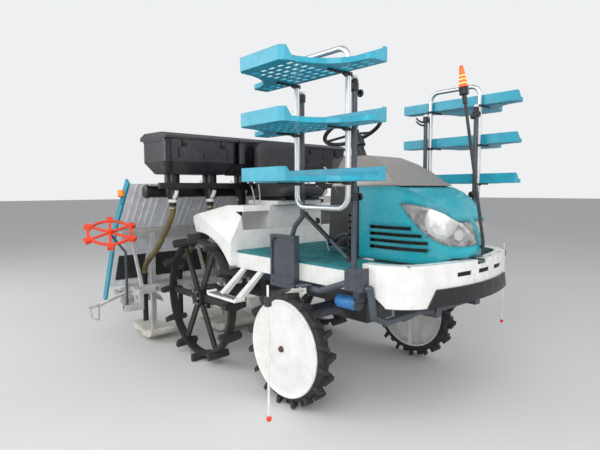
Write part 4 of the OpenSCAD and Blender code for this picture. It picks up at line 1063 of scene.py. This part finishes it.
@dataclass
class Hoppers(Assembly):
    """Latches, ribs, fittings, duct caps, hoses and cable of the fertiliser hoppers."""

    mid_x: float = -1085.0
    pitch: float = 580.0
    duct_x: float = -1195.0
    duct_z: float = 1195.0
    hose_rows: tuple[Point, ...] = ((150, 212, 190), (430, 450, 450), (730, 750, 750))
    hose_top: float = 1094.7

    def build(self) -> None:
        """Builds the pieces of the hoppers."""
        latches = Maker("hopper_latches", TRIM_BLACK)
        ribs = Maker("hopper_ribs", TUB_BLACK)
        fittings = Maker("nozzle_fittings", BARE_WHITE)
        caps = Maker("duct_caps", TRIM_BLACK)
        for k in range(3):
            y = (k - 1) * self.pitch
            for side in SIDES:
                yt = y + side * 150
                latches.box((-899, yt - 16, 1496), (-889, yt + 16, 1540), 3)
                latches.lathe(at(-894, yt - 12, 1520), LEFT, ((0, 7), (24, 7)), 12)
                latches.box((-1284, y + side * 160 - 14, 1530), (-1266, y + side * 160 + 14, 1552), 3)
                fittings.lathe(at(self.mid_x, yt, 1118), UP, ((0, 27), (6, 30), (24, 30), (30, 26), (50, 24)), 22)
                fittings.tube((at(self.mid_x + 18, yt, 1150), at(self.mid_x + 46, yt, 1170),
                               at(self.mid_x + 60, yt, 1205)), 15, 14)
            for side in (-1, 0, 1):
                ribs.box((-900.5, y + side * 190 - 3, 1420), (-894, y + side * 190 + 3, 1490), 1)
        for s in SIDES:
            out = Vector((0, s, 0))
            caps.lathe(at(self.duct_x, s * 858, self.duct_z), out,
                       ((0, 43), (2, 47), (22, 47), (28, 40), (29, 20)), 28)
            for y in (300, 600):
                caps.lathe(at(self.duct_x, s * y, self.duct_z), out,
                           ((0, 42.4), (2, 46), (20, 46), (22, 42.4)), 28)
        for made in (latches, ribs, fittings, caps):
            made.done()
        self.hoses()
        self.wiring()

    def hoses(self) -> None:
        """Ribbed hoses and clamps from the metering units to the boots."""
        hoses = Maker("fertiliser_hoses", HOSE)
        clamps = Maker("hose_clamps", BOLT)
        for s in SIDES:
            for yt, ym, yb in self.hose_rows:
                path = [at(self.mid_x, s * yt, self.hose_top - 0.1), at(self.mid_x, s * yt, 1050),
                        at(-1150, s * (yt + ym) / 2, 945), at(-1300, s * ym, 780),
                        at(-1440, s * (ym * 0.4 + yb * 0.6), 685), at(-1522, s * yb, 615), at(-1536, s * yb, 562)]
                hoses.tube(path, lambda t: 20.5 + 1.3 * math.sin(t * 420), 14, 26)
                clamps.lathe(at(self.mid_x, s * yt, 1074), UP, ((0, 22), (0.5, 23.6), (9, 23.6), (9.5, 22)), 20)
        made = hoses.done(60.0)
        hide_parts("seedling_hoses")
        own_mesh(made)
        clamps.done()

    def wiring(self) -> None:
        """Cable along the duct."""
        cable = Maker("duct_cable", TRIM_BLACK)
        cable.tube([at(-1150, y, 1231 + 4 * math.sin(y / 60)) for y in range(-840, 841, 60)], 4.5, 8, 3)
        cable.done()


@dataclass
class Planter(Assembly):
    """Bolts, covers, springs, marker caps and winkers of the planting section."""

    case_rows: tuple[float, ...] = (-600.0, 0.0, 600.0)
    winker_x: float = -1500.0
    winker_y: float = 928.0
    marker_hub: Point = (-1411.0, 1050.0, 902.0)
    spring_x: float = -1452.0
    spring_y: float = 186.0
    spring_r: float = 12.0
    spring_turns: int = 20
    marker_lean: tuple[float, float] = (30.0, 20.0)

    def build(self) -> None:
        """Builds the pieces of the planter."""
        bolts = Maker("planter_bolts", BOLT, "planter")
        for s in SIDES:
            bolts.bolts([(-1440, s * y, 450) for y in (60, 240, 330, 540, 700, 840)], (1, 0, 0), 9)
            bolts.bolts([(-1390, s * 879, 420)], (0, s, 0), 9)
        bolts.done()
        plates = Maker("case_covers", BARE_WHITE, "planter")
        for y in self.case_rows:
            for s in SIDES:
                plates.lathe(at(-1700, y + s * 30, 398), Vector((0, s, 0)), ((0, 22), (3, 22), (5, 18)), 24)
        plates.done()
        self.springs()
        self.row_markers()
        self.winkers()

    def winkers(self) -> None:
        """Orange lenses and black feet of the winkers."""
        lenses = Maker("winker_lenses", ORANGE, "platform")
        feet = Maker("winker_feet", TRIM_BLACK, "platform")
        for s in SIDES:
            lenses.lathe(at(self.winker_x, s * self.winker_y, 1160), UP,
                         ((0, 22.8), (44, 26.6), (48.6, 24.5), (49, 12)), 26)
            feet.lathe(at(self.winker_x, s * self.winker_y, 1155), UP, ((0, 12), (1, 24.4), (5, 24.8)), 26)
        lenses.done()
        feet.done()

    def springs(self) -> None:
        """Coil springs beside the mast."""
        springs = Maker("mast_springs", ZINC, "planter")
        for s in SIDES:
            angles = [2 * math.pi * k / 12 for k in range(12 * self.spring_turns + 1)]
            path = [at(self.spring_x + self.spring_r * math.cos(a), s * self.spring_y + self.spring_r * math.sin(a),
                       500 + 0.8 * k)
                    for k, a in enumerate(angles)]
            springs.tube(path, 2.4, 6, smooth=False)
        springs.done()

    def row_markers(self) -> None:
        """Hub caps of the row marker wheels."""
        lean, turn = (math.radians(angle) for angle in self.marker_lean)
        x, y, z = self.marker_hub
        for s, name in ((-1, "right"), (1, "left")):
            hub = at(x, s * y, z)
            caps = Maker(f"marker_cap_{name}", RED, f"row_wheel_{name}")
            along = Vector((math.sin(lean) * math.cos(turn), s * math.sin(lean) * math.sin(turn), math.cos(lean)))
            caps.lathe(hub + along * 0.024, along, ((0, 16), (2, 20), (7, 18), (11, 9)), 20)
            caps.done()


@dataclass
class Wheels(Assembly):
    """Caps of the front wheels and nuts of the rear wheels."""

    nuts: int = 6
    nut_circle: float = 0.045

    def build(self) -> None:
        """Builds the pieces of each wheel."""
        for s, name in ((-1, "right"), (1, "left")):
            out = Vector((0, s, 0))
            front = Maker(f"front_hub_{name}", RUST, f"front_{name}_wheel")
            front.lathe(self.face(f"front_wheel_{name}", s), out,
                        ((-11.5, 18.4), (0.6, 15.4), (2.2, 13.5), (2.6, 8)), 24)
            front.done()
            rear = Maker(f"rear_hub_{name}", BOLT, f"rear_{name}_wheel")
            hub = self.face(f"rear_wheel_{name}", s) - out * 0.003
            for k in range(self.nuts):
                a = 2 * math.pi * k / self.nuts
                spot = hub + Vector((math.cos(a), 0, math.sin(a))) * self.nut_circle
                rear.lathe(spot, out, ((-8, 8), (6, 8), (7, 6)), 6)
            rear.done()

    @staticmethod
    def face(node: str, side: int) -> Vector:
        """Middle of a wheel's outer face.

        Args:
            node: CAD node of the wheel.
            side: -1 for the right side, 1 for the left.

        Returns:
            The row point.
        """
        hub = middle(node)
        return Vector((hub.x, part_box(node)[0 if side < 0 else 1].y, hub.z))


@dataclass
class Studio:
    """Floor, lights, sky and camera of the picture."""

    floor_reach: float = 60.0
    camera_place: Point = (1.952, -2.277, 1.206)
    heading: Point = (-0.741, 0.671, 0.0)
    pitch: float = -4.34
    roll: float = -0.23
    sensor: float = 36.0
    focal: float = 28.14

    def build(self) -> None:
        """Builds the picture's surroundings."""
        self.floor()
        self.lights()
        self.sky()
        self.camera()

    def floor(self) -> None:
        """A pale, even floor."""
        data = bpy.data.meshes.new("floor")
        reach = self.floor_reach
        data.from_pydata([(-reach, -reach, 0), (reach, -reach, 0), (reach, reach, 0), (-reach, reach, 0)], [],
                         [(0, 1, 2, 3)])
        made = bpy.data.objects.new("floor", data)
        bpy.context.scene.collection.objects.link(made)
        paint = Finish("studio_floor", (0.62, 0.62, 0.61), 0.85, shade=0.02, shade_scale=0.6, grime=None)
        data.materials.append(paint.material())

    def lights(self) -> None:
        """Broad soft lights at the front right, front left and rear right, and low in front."""
        for name, place, size, power in (("key", (3.2, -4.2, 5.6), 4.5, 200.0),
                                         ("fill", (5.5, 2.0, 3.5), 5.0, 120.0),
                                         ("rear", (-3.6, -5.0, 3.4), 4.5, 190.0),
                                         ("front", (3.3, -3.3, 1.9), 2.2, 46.0)):
            lamp = bpy.data.lights.new(name, "AREA")
            lamp.shape, lamp.size, lamp.energy = "SQUARE", size, power
            made = bpy.data.objects.new(name, lamp)
            bpy.context.scene.collection.objects.link(made)
            made.location = place
            made.rotation_euler = (Vector((0, 0, 0.8)) - Vector(place)).to_track_quat("-Z", "Y").to_euler()

    def sky(self) -> None:
        """Plain soft light all round, pale behind the machine."""
        world = bpy.data.worlds.new("studio")
        bpy.context.scene.world = world
        world.use_nodes = True
        nodes, links = world.node_tree.nodes, world.node_tree.links
        nodes.clear()
        path, mix = nodes.new("ShaderNodeLightPath"), nodes.new("ShaderNodeMixShader")
        soft, pale = nodes.new("ShaderNodeBackground"), nodes.new("ShaderNodeBackground")
        for light, colour, strength in ((soft, (0.95, 0.97, 1.0, 1.0), 0.55), (pale, (0.86, 0.87, 0.88, 1.0), 1.0)):
            light.inputs["Color"].default_value = colour
            light.inputs["Strength"].default_value = strength
        links.new(path.outputs["Is Camera Ray"], mix.inputs[0])
        links.new(soft.outputs[0], mix.inputs[1])
        links.new(pale.outputs[0], mix.inputs[2])
        links.new(mix.outputs[0], nodes.new("ShaderNodeOutputWorld").inputs[0])

    def camera(self) -> None:
        """Camera at the photograph's place and angle."""
        lens = bpy.data.cameras.new("camera")
        lens.sensor_width, lens.lens = self.sensor, self.focal
        made = bpy.data.objects.new("camera", lens)
        bpy.context.scene.collection.objects.link(made)
        level = Vector(self.heading).normalized()
        pitch = math.radians(self.pitch)
        ahead = level * math.cos(pitch) + UP * math.sin(pitch)
        right = ahead.cross(UP).normalized()
        up = right.cross(ahead)
        turn = Matrix((right, up, -ahead)).transposed() @ Matrix.Rotation(math.radians(self.roll), 3, "Z")
        place = Vector(self.camera_place) + FORWARD * AXLE_X
        made.matrix_world = Matrix.Translation(place) @ turn.to_4x4()
        scene = bpy.context.scene
        scene.camera = made
        scene.view_settings.view_transform = "Standard"


def main() -> None:
    """Builds every sub-assembly in order."""
    logging.basicConfig(level=logging.INFO, format="%(name)s %(message)s")
    for part in (Carried(), SeedlingRacks(), Bumper(), Deck(), Seat(), Hoppers(), Planter(), Wheels()):
        LOG.info("building %s", type(part).__name__)
        part.build()
    Studio().build()


if __name__ == "__main__":
    main()
